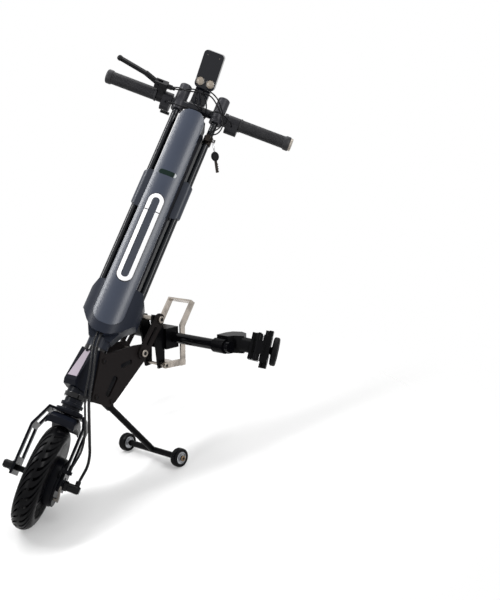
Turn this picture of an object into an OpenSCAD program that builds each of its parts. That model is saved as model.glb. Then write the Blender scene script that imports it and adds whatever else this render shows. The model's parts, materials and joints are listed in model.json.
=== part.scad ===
// Front power attachment for a manual wheelchair.
// It stands on its front wheel and its stand wheels, with the column turned to the left stop.
// +X is the user's left, -Y is the way of travel, +Z is up. Millimetres.

/* [Stance] */
// Turn of the column at rest, against the left stop, in degrees
steer = 41; // [30:1:45]
// Lean of the docking arm's upright against the column, in degrees
dock_lean = 33; // [28:1:38]
// Wheel centre ahead of the origin
wheel_ahead = 356; // [300:1:400]

/* [Front wheel] */
// Outer radius of the tyre
wheel_r = 125; // [118:1:130]
// Width of the tyre
tyre_w = 52; // [44:1:54]
// Radius of the rim seat
rim_r = 80; // [76:1:84]
// Width of the rim
rim_w = 34; // [30:1:36]
// Radius of the brake drum on the hub
drum_r = 57; // [52:1:60]
// Distance from the wheel's middle to the drum's face
drum_x = 43; // [40:1:44]
// Wall of the hub
hub_wall = 5; // [4:0.5:7]
// Radius of the motor stator
stator_r = 50.5; // [40:0.5:50.5]
// Radius of the axle
axle_r = 7; // [6:0.5:8]
// Distance from the wheel's middle to the end of an axle cap
axle_reach = 94; // [88:1:100]

/* [Fork] */
// Height of the crown's top above the axle
crown_z = 158; // [152:1:164]
// Half width of the crown
crown_x = 43; // [40:1:46]
// Thickness of the bent strip
strip_t = 6; // [5:0.5:7]
// Width of the bent strip
strip_w = 86; // [76:1:92]
// Outer face of the wide leg
leg_wide_x = 66; // [62:1:70]
// Outer face of the narrow leg, beside the drum
leg_near_x = 54; // [53:0.5:58]
// Radius of the steerer below the headset
steerer_r = 22; // [19:0.5:24]

/* [Head] */
// Height of the lower headset above the axle
head_low_z = 193; // [188:1:198]
// Height of the top of the upper headset above the axle
head_top_z = 324; // [320:1:326]
// Radius of the head tube
head_r = 25; // [23:0.5:26]
// Radius of the steerer inside the head tube
stem_r = 14.3; // [12:0.1:15]
// Inner face of a side plate
plate_x = 29; // [28.5:0.5:32]
// Thickness of a side plate
plate_t = 6; // [4:0.5:8]

/* [Stand] */
// Stand axle behind the column's axis
stand_y = 309; // [295:1:320]
// Stand axle above the front axle, along the column
stand_z = 167; // [160:1:175]
// Distance between the middles of the stand wheels
stand_track = 195; // [180:1:210]
// Radius of a stand wheel
stand_wheel_r = 24; // [20:1:28]
// Width of a stand wheel
stand_wheel_w = 20; // [16:1:24]
// Radius of the stand leg
stand_leg_r = 8; // [6:0.5:9]

/* [Column] */
// Distance from the middle to a side tube
tube_x = 53; // [52:0.5:55]
// Radius of a side tube
tube_r = 9; // [8:0.5:10]
// Height of the handlebar above the cover's top
bar_above = 29; // [26:1:32]
// Height of a tube end cap above the handlebar
cap_rise = 53; // [46:1:58]
// Radius of a tube end cap
cap_r = 16; // [15:0.5:17]
// Half width of the base
base_x = 68; // [66:1:70]
// Half depth of the base
base_y = 46; // [45:1:48]
// Height of the base's top
base_top_z = 484; // [478:1:490]

/* [Battery] */
// Half width of the cover at its top
cover_top_x = 34; // [32:0.5:36]
// Half width of the cover at its foot
cover_foot_x = 39; // [37:0.5:39.5]
// Height of the cover's top
cover_top_z = 974; // [968:1:976]
// Height of the cover's foot
cover_foot_z = 379; // [376:1:384]
// Front of the cover at its middle
cover_front_y = 54; // [52:0.5:57]
// Radius of the cover's crown
crown_r = 73; // [65:1:90]
// Wall of the battery case
case_wall = 3; // [2:0.5:4]
// Back of the battery case
case_back_y = 39; // [36:0.5:40]
// Half width of the white ring
ring_x = 19.5; // [16:0.5:20]
// Width of the ring's bar
ring_bar = 10; // [8:0.5:12]
// Height of the ring's foot
ring_foot_z = 491; // [480:1:500]
// Height where the ring ends and the folding handle starts
ring_split_z = 682; // [670:1:690]
// Height of the folding handle's top
ring_top_z = 729; // [722:1:736]
// Height of the charge window
window_z = 789; // [780:1:800]

/* [Handlebar] */
// Half length of the handlebar over its grips
bar_half = 255; // [245:1:265]
// Radius of the handlebar
bar_r = 11; // [10:0.1:11.2]
// Distance from the middle to the inner end of a grip
grip_in_x = 115; // [112:1:120]
// Radius of a grip
grip_r = 16.5; // [15:0.5:18]
// Length of the brake lever's blade
lever_l = 112; // [100:1:116]
// Width of the display
display_w = 54; // [48:1:60]
// Height of the display
display_h = 98; // [90:1:110]
// Tilt of the display towards the front, in degrees
display_tilt = 33; // [25:1:38]

/* [Dock] */
// Lower link bolt behind the column's axis
link_low_y = 110; // [108:1:114]
// Lower link bolt above the axle
link_low_z = 364; // [360:1:368]
// Upper link bolt behind the column's axis
link_top_y = 119; // [116:1:124]
// Upper link bolt above the axle
link_top_z = 460; // [452:1:466]
// Width of a link
link_w = 30; // [26:1:32]
// Arm tube behind the column's axis
arm_y = 195; // [192:1:198]
// Arm tube above the axle
arm_z = 443; // [440:1:446]
// Radius of the arm tube
arm_r = 13.5; // [12:0.5:14]
// Half length of the arm tube
arm_half = 228; // [220:1:240]
// Radius of a sliding collar
collar_r = 18; // [17:0.5:20]

/* [Clamp] */
// Radius of the chair tube that a clamp grips
chair_tube_r = 12.5; // [10:0.5:13]
// Distance from the middle to a clamped tube
clamp_x = 275; // [270:1:285]
// Length of a clamp along the tube
clamp_l = 66; // [56:1:70]
// Radius of a clamp knob
knob_r = 36; // [30:1:38]

/* [Hidden] */
$fn = 64;
// Clearances: a running fit on a radius, a seat within one body, a gap between moving bodies
run = 0.05;
seat = 0.1;
gap = 0.4;

tyre_s = tyre_w / 2;
tyre_ring_r = wheel_r - tyre_s;
bolt_r = 6;
cable_r = 2.5;
lead_r = 3.5;
wire_r = 1.8;
bar_z = cover_top_z + bar_above;
cap_top_z = bar_z + cap_rise;

// Height of the wheel centre over the floor when the column leans by l
function wheel_drop(l) = tyre_ring_r * sqrt(1 - pow(sin(steer) * sin(l), 2)) + tyre_s;
function stand_lift(l) = wheel_drop(l) + stand_z * cos(l) - stand_y * sin(l) - stand_wheel_r;
function lean_at(low, high, steps) =
    let (mid = (low + high) / 2)
    steps == 0 ? mid :
    stand_lift(mid) > 0 ? lean_at(mid, high, steps - 1) : lean_at(low, mid, steps - 1);
lean = lean_at(20, 70, 30);
wheel_z = wheel_drop(lean);

// Frames
// Column frame: origin at the wheel centre, z up the steering axis, y back
module in_column() {
    translate([0, -wheel_ahead, wheel_z])
        rotate([-lean, 0, 0])
            children();
}

// The same, turned with the handlebar
module in_steer() {
    in_column()
        rotate([0, 0, steer])
            children();
}

// Dock frame: origin on the arm tube's axis, y level and z upright when docked
module in_dock() {
    in_column()
        translate([0, arm_y, arm_z])
            rotate([dock_lean, 0, 0])
                children();
}

// Clamp frame: origin in the gripped tube, z along it, x out towards the knob
clamp_y = 60;
clamp_z = -6;
tube_slant = 20.8;
clamp_turn = 35;
module in_clamp(side) {
    in_dock()
        mirror([side < 0 ? 1 : 0, 0, 0])
            translate([clamp_x, clamp_y, clamp_z])
                rotate([-tube_slant, 0, 0])
                    rotate([0, 0, clamp_turn])
                        children();
}

module mirrored(side) {
    mirror([side < 0 ? 1 : 0, 0, 0])
        children();
}

// Shapes
// Round bar along X from x0 to x1
module bar_x(r, x0, x1) {
    translate([x0, 0, 0])
        rotate([0, 90, 0])
            cylinder(r = r, h = x1 - x0);
}

module tube_along_x(r, bore, x0, x1) {
    difference() {
        bar_x(r, x0, x1);
        bar_x(bore, x0 - 1, x1 + 1);
    }
}

// Outline in the y, z plane made solid from x0 to x1
module plate_yz(x0, x1) {
    translate([x0, 0, 0])
        rotate([90, 0, 90])
            linear_extrude(x1 - x0)
                children();
}

// Outline in the x, z plane made solid from y0 to y1
module plate_xz(y0, y1) {
    translate([0, y1, 0])
        rotate([90, 0, 0])
            linear_extrude(y1 - y0)
                children();
}

// Round-ended strip between two points
module strip_2d(a, b, w) {
    turn = atan2(b[1] - a[1], b[0] - a[0]);
    translate(a)
        circle(d = w);
    translate(b)
        circle(d = w);
    translate(a)
        rotate(turn)
            translate([0, -w / 2])
                square([norm(b - a), w]);
}

// Slot between two points, with chamfered ends
module slot_2d(a, b, w) {
    long = norm(b - a);
    half = w / 2;
    cut = w / 4;
    translate(a)
        rotate(atan2(b[1] - a[1], b[0] - a[0]))
            polygon([[-half, -cut], [-cut, -half], [long + cut, -half], [long + half, -cut],
                [long + half, cut], [long + cut, half], [-cut, half], [-half, cut]]);
}

module round_rect_2d(w, h, r) {
    translate([-w / 2 + r, -h / 2])
        square([w - 2 * r, h]);
    translate([-w / 2, -h / 2 + r])
        square([w, h - 2 * r]);
    for (x = [-1, 1], y = [-1, 1])
        translate([x * (w / 2 - r), y * (h / 2 - r)])
            circle(r);
}

module hex_nut_x(r, x0, x1) {
    translate([x0, 0, 0])
        rotate([0, 90, 0])
            cylinder(r = r, h = x1 - x0, $fn = 6);
}

// A smooth route through its points, four steps to a span
function spline(p0, p1, p2, p3, t) =
    0.5 * (2 * p1 + (p2 - p0) * t + (2 * p0 - 5 * p1 + 4 * p2 - p3) * t * t
        + (3 * p1 - p0 - 3 * p2 + p3) * t * t * t);
function route(p, steps) = concat(
    [for (i = [0 : len(p) - 2], k = [0 : steps - 1])
        spline(p[max(i - 1, 0)], p[i], p[i + 1], p[min(i + 2, len(p) - 1)], k / steps)],
    [p[len(p) - 1]]);
function both_sides(half) = concat(half,
    [for (i = [len(half) - 1 : -1 : 0]) [-half[i][0], half[i][1]]]);
function unit(v) = v / norm(v);
function way(c, i) = unit(c[min(i + 1, len(c) - 1)] - c[max(i - 1, 0)]);

module cord(points, r, up, steps = 3, sides = 8) {
    c = route(points, steps);
    last = len(c) - 1;
    rings = [for (i = [0 : last])
        let (t = way(c, i), a = unit(cross(t, up)), b = cross(t, a))
        for (k = [0 : sides - 1])
            c[i] + r * (cos(360 * k / sides) * a + sin(360 * k / sides) * b)];
    body = [for (i = [0 : last - 1], k = [0 : sides - 1])
        let (a = i * sides + k, b = i * sides + (k + 1) % sides)
        each [[a, b + sides, b], [a, a + sides, b + sides]]];
    ends = [for (k = [1 : sides - 2])
        each [[0, k, k + 1], [last * sides, last * sides + k + 1, last * sides + k]]];
    polyhedron(points = rings, faces = concat(body, ends));
}

// Head and frame
cup_r = 28;
cup_h = 12;
head_bore_r = 17;
head_bottom_z = head_low_z + cup_h;
head_upper_z = head_top_z - cup_h;
bearing_r = 20;
link_low = [link_low_y, link_low_z];
link_top = [link_top_y, link_top_z];
plate_out_x = plate_x + plate_t;

module head_tube() {
    lug_y = 44;
    lug_z = 70;
    lug_mid_z = (head_bottom_z + head_upper_z) / 2;
    web_half = 3;
    color("#23262b") in_column() difference() {
        union() {
            plate_yz(-web_half, web_half)
                polygon([[20, 225], [62, 238], [104, 240], link_low + [18, -24], link_low + [2, -16],
                    link_low + [-22, -14], [20, head_upper_z - 8]]);
            translate([0, 0, head_bottom_z])
                cylinder(r = head_r, h = head_upper_z - head_bottom_z);
            translate([-plate_x, -4, lug_mid_z - lug_z / 2])
                cube([2 * plate_x, lug_y, lug_z]);
        }
        translate([0, 0, head_bottom_z - 1])
            cylinder(r = head_bore_r, h = head_upper_z - head_bottom_z + 2);
        at_nose()
            lens_pocket();
    }
}

module headset_cup(z) {
    translate([0, 0, z]) difference() {
        cylinder(r = cup_r, h = cup_h);
        translate([0, 0, -1])
            cylinder(r = stem_r + 2, h = cup_h + 2);
        translate([0, 0, cup_h / 2 - 4])
            cylinder(r = bearing_r, h = 8);
    }
    translate([0, 0, z + cup_h / 2 - 4 + seat / 2]) difference() {
        cylinder(r = bearing_r - seat, h = 8 - seat);
        translate([0, 0, -1])
            cylinder(r = stem_r + run, h = 10);
    }
}

module headset() {
    color("#15171a") in_column() {
        headset_cup(head_low_z);
        headset_cup(head_upper_z);
    }
}

// Side plate: the round ear carries the dock's lower bolt
plate_ear_r = 20;
plate_points = [
    [-11, 318], [5, 315], [13, 322], [79, 370], link_low + [-5, plate_ear_r + 1],
    link_low + [plate_ear_r + 1, -8], [92, 227], [80, 208], [21, 200]
];
stand_foot = [80, 222];
stand_end = [stand_y, stand_z];

module plate_outline() {
    difference() {
        union() {
            polygon(plate_points);
            translate(link_low)
                circle(plate_ear_r);
        }
        translate(link_low)
            circle(bolt_r + run);
        slot_2d([69, 312], [86, 329], 12);
        slot_2d([62, 274], [60, 236], 16);
        for (p = frame_bolt_points)
            translate(p)
                circle(bolt_small_r + run);
    }
}

module frame_plates() {
    color("#2b2523") in_column() {
        plate_yz(plate_x, plate_out_x) plate_outline();
        plate_yz(-plate_out_x, -plate_x) plate_outline();
    }
}

bolt_small_r = 3;
frame_bolt_points = [[8, 300], [30, 215], stand_foot];
link_t = 6;
link_in_x = plate_out_x + gap;
link_out_x = link_in_x + link_t;
bolt_head_h = 5;

module frame_bolts() {
    color("#b9b4ab") in_column() {
        translate([0, link_low[0], link_low[1]]) {
            bar_x(bolt_r, -link_out_x - gap, link_out_x + gap);
            for (side = [-1, 1]) mirrored(side)
                bar_x(9, link_out_x + gap, link_out_x + gap + bolt_head_h);
            tube_along_x(9, bolt_r + run, -plate_x + seat, plate_x - seat);
        }
        for (p = frame_bolt_points, side = [-1, 1])
            translate([0, p[0], p[1]]) mirrored(side) {
                bar_x(bolt_small_r, plate_x + seat, plate_out_x);
                bar_x(2 * bolt_small_r, plate_out_x, plate_out_x + 2);
            }
    }
}

// Hood: a faceted nose whose front carries the light
nose_top = [-22, 317];
nose_foot = [-39, 230];
nose_front_x = 19;
nose_slope = atan2(nose_foot[0] - nose_top[0], nose_top[1] - nose_foot[1]);
nose_l = norm(nose_top - nose_foot);
lens_foot_x = 17;
lens_top_x = 10.5;
lens_l = 72;
lens_lift = 2.5;
lens_t = 3;
lens_set_in = 0.6;
lens_foot = (nose_l - lens_l) / 2 + lens_lift;

module at_nose() {
    translate([0, nose_foot[0], nose_foot[1]])
        rotate([nose_slope, 0, 0])
            children();
}

module lens_outline(clear) {
    polygon(both_sides([[lens_foot_x + clear, lens_foot - clear],
        [lens_top_x + clear, lens_foot + lens_l + clear]]));
}

module lens_pocket() {
    plate_xz(-1, lens_t)
        lens_outline(seat);
}

module hood_solid() {
    intersection() {
        plate_yz(-plate_x + seat, plate_x - seat)
            polygon([[-11, 317], nose_top, nose_foot, [-34, 219], [20, 206], [0, 300]]);
        translate([0, 0, 190])
            linear_extrude(140)
                polygon(both_sides([[plate_x, 20], [plate_x, -14], [nose_front_x, -42]]));
    }
}

module head_hood() {
    color("#1f2531") in_column() difference() {
        hood_solid();
        translate([0, 0, head_bottom_z - 1])
            cylinder(r = head_r + seat, h = head_upper_z - head_bottom_z + 2);
        translate([0, 0, head_upper_z - seat])
            cylinder(r = cup_r + seat, h = 20);
        translate([-plate_x - 1, -4 - seat, 200])
            cube([2 * plate_x + 2, 60, 140]);
        at_nose()
            lens_pocket();
    }
}

module headlight_lens() {
    color("#d9cfd6") in_column() at_nose()
        plate_xz(lens_set_in, lens_t)
            lens_outline(0);
}

// Stand
stand_axle_r = 4;
stand_slope = atan2(stand_end[1] - stand_foot[1], stand_end[0] - stand_foot[0]);
stand_l = norm(stand_end - stand_foot);
stand_half = stand_track / 2;

module stand_leg() {
    cross_half = stand_half - stand_wheel_w / 2 - 4;
    color("#1b1d20") in_column() {
        difference() {
            union() {
                translate([0, stand_foot[0], stand_foot[1]])
                    rotate([stand_slope, 0, 0])
                        rotate([-90, 0, 0]) {
                            cylinder(r = stand_leg_r, h = stand_l);
                            cylinder(r = stand_leg_r + 3, h = 34);
                        }
                translate([0, stand_foot[0], stand_foot[1]])
                    bar_x(10, -plate_x + seat, plate_x - seat);
                translate([0, stand_end[0], stand_end[1]])
                    bar_x(stand_leg_r, -cross_half, cross_half);
            }
            translate([0, stand_foot[0], stand_foot[1]])
                rotate([stand_slope, 0, 0])
                    rotate([-90, 0, 0])
                        translate([0, 0, 40])
                            cylinder(r = stand_leg_r - 2, h = stand_l - 60);
        }
        translate([0, stand_end[0], stand_end[1]]) {
            for (side = [-1, 1]) mirrored(side) {
                bar_x(stand_axle_r, cross_half, stand_half + stand_wheel_w / 2 + 3);
                bar_x(7, stand_half + stand_wheel_w / 2 + gap, stand_half + stand_wheel_w / 2 + 4);
            }
        }
    }
}

module stand_wheel(side) {
    half_w = stand_wheel_w / 2;
    color("#17181a") in_column()
        translate([side * stand_half, stand_end[0], stand_end[1]])
            rotate([0, 90, 0])
                rotate_extrude()
                    polygon([[stand_axle_r + run, -half_w], [9, -half_w], [9, -half_w + 2],
                        [15, -half_w + 2], [16, -half_w], [stand_wheel_r - 3, -half_w],
                        [stand_wheel_r, -half_w + 3], [stand_wheel_r, half_w - 3],
                        [stand_wheel_r - 3, half_w], [16, half_w], [15, half_w - 2],
                        [9, half_w - 2], [9, half_w], [stand_axle_r + run, half_w]]);
}

module stand_wheel_left() { stand_wheel(1); }
module stand_wheel_right() { stand_wheel(-1); }

// Fork and front wheel
flange_r = 33;
stem_top_z = 344;
leg_foot_z = -18;
crown_low_z = crown_z - strip_t;
wide_bend_z = 104;
near_bend_z = 134;

module steerer() {
    color("#20242b") in_steer() difference() {
        union() {
            translate([0, 0, crown_z])
                cylinder(r = flange_r, h = 7);
            translate([0, 0, crown_z])
                cylinder(r = steerer_r, h = head_low_z - gap - crown_z);
            translate([0, 0, head_low_z - 20])
                cylinder(r = steerer_r + 5, h = 8);
            translate([0, 0, crown_z])
                cylinder(r = stem_r, h = stem_top_z - crown_z);
        }
        translate([0, 0, crown_z - 1])
            cylinder(r = stem_r - 4, h = stem_top_z - crown_z + 2);
    }
}

module fork_outline() {
    difference() {
        polygon([[-leg_wide_x, leg_foot_z], [-leg_wide_x, wide_bend_z], [-crown_x, crown_z],
            [crown_x, crown_z], [leg_near_x, near_bend_z], [leg_near_x, leg_foot_z]]);
        polygon([[-leg_wide_x + strip_t, leg_foot_z - 1], [-leg_wide_x + strip_t, wide_bend_z - 2],
            [-crown_x + strip_t / 2, crown_low_z], [crown_x - strip_t / 2, crown_low_z],
            [leg_near_x - strip_t, near_bend_z - 2], [leg_near_x - strip_t, leg_foot_z - 1]]);
    }
}

module fork() {
    slot_half = strip_w / 2 - 15;
    color("#262a31") in_steer() difference() {
        plate_xz(-strip_w / 2, strip_w / 2)
            fork_outline();
        translate([-leg_wide_x - 1, -slot_half, 24])
            cube([strip_t + 2, 2 * slot_half, wide_bend_z - 32]);
        translate([-leg_wide_x - 1, -slot_half, wide_bend_z + 8])
            cube([leg_wide_x - crown_x, 2 * slot_half, 34]);
        translate([leg_near_x - strip_t - 1, -slot_half, 24])
            cube([strip_t + 2, 2 * slot_half, near_bend_z - 36]);
        bar_x(axle_r + seat, -leg_wide_x - 1, leg_near_x + 1);
        translate([0, 0, crown_low_z - 1])
            cylinder(r = stem_r - 4, h = strip_t + 2);
    }
}

guard_r = crown_low_z - 4;
guard_half = 30;

module mudguard() {
    guard_x = tyre_s + 7;
    color("#1b1e22") in_steer() {
        rotate([180 - guard_half, 0, 0])
            rotate([0, 90, 0])
                translate([0, 0, -guard_x])
                    rotate_extrude(angle = 2 * guard_half)
                        translate([guard_r, 0])
                            square([3, 2 * guard_x]);
        translate([-12, -12, guard_r + 2])
            cube([24, 24, crown_low_z - guard_r - 2]);
    }
}

module axle() {
    color("#8d9096") in_steer()
        bar_x(axle_r, -axle_reach + 6, axle_reach - 6);
}

nut_r = 12;
nut_w = 8;
axle_cap_r = 10;
boot_x = axle_reach - 10;
boot_r = 6;
boot_top_z = 20;
lead_end_z = axle_cap_r + 0.5;

module axle_fittings() {
    color("#1a1b1d") in_steer() {
        for (end = [[-1, leg_wide_x], [1, leg_near_x]])
            mirrored(end[0]) difference() {
                union() {
                    bar_x(nut_r + 4, end[1], end[1] + 2);
                    hex_nut_x(nut_r, end[1] + 2, end[1] + 2 + nut_w);
                    bar_x(axle_cap_r, end[1] + 2 + nut_w, axle_reach - 3);
                    bar_x(axle_cap_r - 2, axle_reach - 3, axle_reach);
                }
                bar_x(axle_r + seat, 0, axle_reach - 6 + seat);
            }
        translate([boot_x, 0, axle_r + 1]) difference() {
            cylinder(r = boot_r, h = boot_top_z - axle_r - 1);
            translate([0, 0, lead_end_z - axle_r - 1])
                cylinder(r = lead_r + seat, h = boot_top_z);
        }
    }
}

module motor_stator() {
    color("#8a5a2c") in_steer() difference() {
        union() {
            bar_x(stator_r, -rim_w / 2 + 3, drum_x - hub_wall - 4);
            bar_x(axle_r + 6, -rim_w / 2 + 1, drum_x - hub_wall - 2);
        }
        bar_x(axle_r + seat, -rim_w, drum_x);
        for (k = [0 : 11])
            rotate([k * 30, 0, 0])
                translate([-rim_w / 2, -1.5, stator_r - 8])
                    cube([drum_x + rim_w, 3, 10]);
    }
}

// Brake plate between the drum and the near leg: the cam spindle passes below the leg's foot,
// and the ear ahead of the leg holds the cable stop
cam = [-22, -36];
cam_r = 4;
arm_end = [-60, -10];
arm_x0 = leg_near_x + 2.5;
arm_x1 = arm_x0 + 3.5;
plate_in_x = drum_x + gap;
brake_plate_x = leg_near_x - strip_t - seat;
cable_stop = [arm_x1 + 1 + cable_r, -60, 24];
cable_stop_yz = [cable_stop[1], cable_stop[2]];
stop_h = 8;

module brake_plate() {
    color("#3a3d42") in_steer() difference() {
        union() {
            bar_x(drum_r - 2, plate_in_x, brake_plate_x);
            plate_yz(plate_in_x, brake_plate_x)
                polygon([[-34, 0], [-50, 6], cable_stop_yz + [-6, -6], cable_stop_yz + [-6, stop_h],
                    cable_stop_yz + [6, stop_h], [-30, 30]]);
            translate([plate_in_x, cable_stop[1] - 6, cable_stop[2]])
                cube([cable_stop[0] + 6 - plate_in_x, 12, stop_h]);
        }
        bar_x(axle_r + seat, 0, leg_near_x);
        translate([0, cam[0], cam[1]])
            bar_x(cam_r + run, 0, leg_near_x);
        translate([cable_stop[0], cable_stop[1], cable_stop[2] - 1])
            cylinder(r = cable_r + seat, h = stop_h + 2);
    }
}

module brake_arm() {
    color("#b5b7ba") in_steer() {
        translate([0, cam[0], cam[1]])
            bar_x(cam_r, plate_in_x + gap, arm_x1);
        plate_yz(arm_x0, arm_x1)
            difference() {
                strip_2d(cam, arm_end, 11);
                translate(arm_end)
                    circle(2);
            }
    }
}

module tyre() {
    color("#1c1c1f") in_steer()
        rotate([0, 90, 0])
            rotate_extrude($fn = 96)
                difference() {
                    translate([tyre_ring_r, 0])
                        circle(tyre_s);
                    translate([0, -tyre_w])
                        square([rim_r, 2 * tyre_w]);
                }
}

cover_in_x = rim_w / 2;

module hub_shell() {
    cavity_r = drum_r - hub_wall;
    color("#2a2d33") in_steer()
        rotate([0, 90, 0])
            rotate_extrude($fn = 96)
                polygon([[cavity_r, -cover_in_x], [rim_r - seat, -cover_in_x], [rim_r - seat, cover_in_x],
                    [drum_r + 4, cover_in_x + 2], [drum_r, cover_in_x + 5], [drum_r, drum_x - 2],
                    [drum_r - 2, drum_x], [bearing_out_r, drum_x], [bearing_out_r, drum_x - hub_wall],
                    [cavity_r, drum_x - hub_wall]]);
}

bearing_out_r = 13;

module hub_cover() {
    color("#32353b") in_steer()
        rotate([0, 90, 0])
            rotate_extrude($fn = 96)
                polygon([[bearing_out_r, -cover_in_x - 9], [30, -cover_in_x - 9], [62, -cover_in_x - 5],
                    [66, -cover_in_x - 3], [66, -cover_in_x], [bearing_out_r, -cover_in_x]]);
}

module wheel_bearings() {
    color("#c4c7cb") in_steer() {
        tube_along_x(bearing_out_r - seat, axle_r + run, -cover_in_x - 8, -cover_in_x - 1);
        tube_along_x(bearing_out_r - seat, axle_r + run, drum_x - hub_wall, drum_x);
    }
}

// Column
neck_r = 27;
neck_z = head_top_z + gap;
flare_z = head_top_z + 21;
base_wide_low_z = cover_foot_z + 26;
base_wide_top_z = base_top_z - 23;
base_proud = 0.6;
chin_z = cover_foot_z - 23;
chin_y = -24;
tube_foot_z = base_wide_low_z + 15;
tube_head_z = bar_z - bar_r - 6;
pocket_x = cover_foot_x + 1;
pocket_z = cover_foot_z + 5;

module base_outline(low) {
    polygon(both_sides(concat(low, [[base_x, base_wide_low_z], [base_x, base_wide_top_z],
        [base_x - 11, base_top_z]])));
}

// Behind, the base flares up from a round neck; in front, its chin wraps the foot of the cover
module base_dock() {
    color("#1d222c") in_steer() difference() {
        union() {
            translate([0, 0, neck_z])
                cylinder(r = neck_r, h = flare_z + 5 - neck_z);
            intersection() {
                union() {
                    plate_xz(chin_y, base_y)
                        base_outline([[neck_r, flare_z], [cover_foot_x + 5, cover_foot_z + 1]]);
                    plate_xz(-cover_front_y - 5, chin_y)
                        base_outline([[10, chin_z], [24, chin_z + 4], [cover_foot_x + 5, chin_z + 20]]);
                }
                plate_yz(-base_x - 5, base_x + 5)
                    polygon([[-cover_front_y - 5, flare_z], [-cover_front_y - 5, base_top_z],
                        [base_y, base_top_z], [base_y, flare_z + 53], [base_y - 8, flare_z + 27],
                        [neck_r, flare_z]]);
                crown_solid(base_proud);
            }
        }
        translate([-pocket_x, -case_split_y, pocket_z])
            cube([2 * pocket_x, case_split_y + case_back_y + seat, 200]);
        plate_xz(-cover_front_y - 9, -case_split_y + seat)
            cover_outline(-gap);
        for (x = [-tube_x, tube_x])
            translate([x, 0, tube_foot_z])
                cylinder(r = tube_r + seat, h = 100);
        translate([0, 0, neck_z - 1])
            cylinder(r = stem_r + seat, h = stem_top_z - neck_z + 1 + seat);
        for (hole = [[lead_exit, lead_r], [cable_exit, cable_r]])
            translate(hole[0] + [0, 0, -40])
                cylinder(r = hole[1] + seat, h = 40);
    }
}

module column_tubes() {
    color("#24272c") in_steer()
        for (x = [-tube_x, tube_x])
            translate([x, 0, tube_foot_z]) difference() {
                cylinder(r = tube_r, h = tube_head_z - tube_foot_z);
                translate([0, 0, -1])
                    cylinder(r = tube_r - 2, h = tube_head_z - tube_foot_z + 2);
            }
}

clasp_top_z = cover_top_z - 174;
clasp_low_z = clasp_top_z - 105;

module tube_clasps() {
    clasp_r = tube_r + 4;
    color("#1c2230") in_steer()
        for (side = [-1, 1]) mirrored(side) difference() {
            union() {
                translate([tube_x, 0, clasp_low_z])
                    cylinder(r = clasp_r, h = clasp_top_z - clasp_low_z);
                translate([pocket_x, -clasp_r, clasp_low_z])
                    cube([tube_x - pocket_x, 2 * clasp_r, clasp_top_z - clasp_low_z]);
            }
            translate([tube_x, 0, clasp_low_z - 1])
                cylinder(r = tube_r + seat, h = clasp_top_z - clasp_low_z + 2);
            translate([tube_x - 2, clasp_r, clasp_top_z])
                rotate([0, 30, 0])
                    translate([0, -3 * clasp_r, 0])
                        cube([60, 6 * clasp_r, 60]);
            translate([tube_x - 2, clasp_r, clasp_low_z])
                rotate([0, 60, 0])
                    translate([0, -3 * clasp_r, 0])
                        cube([60, 6 * clasp_r, 60]);
        }
}

module bar_clamps() {
    cap_foot_z = tube_head_z - 4;
    color("#1f2226") in_steer()
        for (side = [-1, 1]) mirrored(side) difference() {
            union() {
                translate([tube_x, 0, cap_foot_z])
                    cylinder(r = cap_r, h = cap_top_z - cap_foot_z - 2);
                translate([tube_x, 0, cap_top_z - 2])
                    cylinder(r1 = cap_r, r2 = cap_r - 2, h = 2);
            }
            translate([tube_x, 0, cap_foot_z - 1])
                cylinder(r = tube_r + seat, h = tube_head_z - cap_foot_z + 1 + seat);
            translate([0, 0, bar_z])
                bar_x(bar_r + seat, tube_x - 30, tube_x + 30);
        }
}

// Battery
case_split_y = 30;
crown_mid_y = crown_r - cover_front_y;
case_x = cover_top_x - 0.5;
case_foot_z = pocket_z + seat;
case_top_z = cover_top_z - 10;
shoulder_x = pocket_x - gap;
shoulder_top_z = cover_top_z - 40;

module cover_outline(inset) {
    r_top = 26 - inset;
    r_foot = 34 - inset;
    top_x = cover_top_x - inset;
    foot_x = cover_foot_x - inset;
    top_z = cover_top_z - inset;
    foot_z = cover_foot_z + inset;
    polygon([[-foot_x, foot_z + r_foot], [foot_x, foot_z + r_foot], [top_x, top_z - r_top],
        [-top_x, top_z - r_top]]);
    for (x = [-1, 1]) {
        translate([x * (top_x - r_top), top_z - r_top])
            circle(r_top);
        translate([x * (foot_x - r_foot), foot_z + r_foot])
            circle(r_foot);
    }
    translate([-(top_x - r_top), top_z - r_top])
        square([2 * (top_x - r_top), r_top]);
    translate([-(foot_x - r_foot), foot_z])
        square([2 * (foot_x - r_foot), r_foot]);
}

module crown_solid(extra) {
    translate([0, crown_mid_y, 300])
        cylinder(r = crown_r + extra, h = 800, $fn = 128);
}

module ring_outline(low, high, half, clear) {
    difference() {
        strip_2d([0, low], [0, high], 2 * (half + clear));
        strip_2d([0, low], [0, high], 2 * (half - ring_bar - clear));
    }
}

ring_low = ring_foot_z + ring_x;
ring_high = ring_top_z - ring_x;
ring_back_y = 50;
window_w = 46;
window_h = 13;

module battery_cover() {
    color("#2c3444") in_steer() difference() {
        intersection() {
            plate_xz(-cover_front_y - 5, -case_split_y)
                cover_outline(0);
            crown_solid(0);
        }
        intersection() {
            plate_xz(-cover_front_y - 5, -case_split_y + 1)
                cover_outline(case_wall);
            crown_solid(-5);
        }
        plate_xz(-cover_front_y - 9, -ring_back_y)
            ring_outline(ring_low, ring_high, ring_x, gap);
        plate_xz(-cover_front_y - 9, -ring_back_y)
            translate([0, window_z])
                strip_2d([-(window_w - window_h) / 2, 0], [(window_w - window_h) / 2, 0],
                    window_h + 2 * seat);
    }
}

// The case is wider behind, where it fills the space between the side tubes
module tray_outline(inset, front_y) {
    back = case_back_y - inset;
    wide = shoulder_x - inset;
    narrow = case_x - inset;
    polygon(both_sides([[narrow, front_y], [narrow, -16], [wide, -12], [wide, back - 5], [wide - 5, back]]));
}

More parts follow.
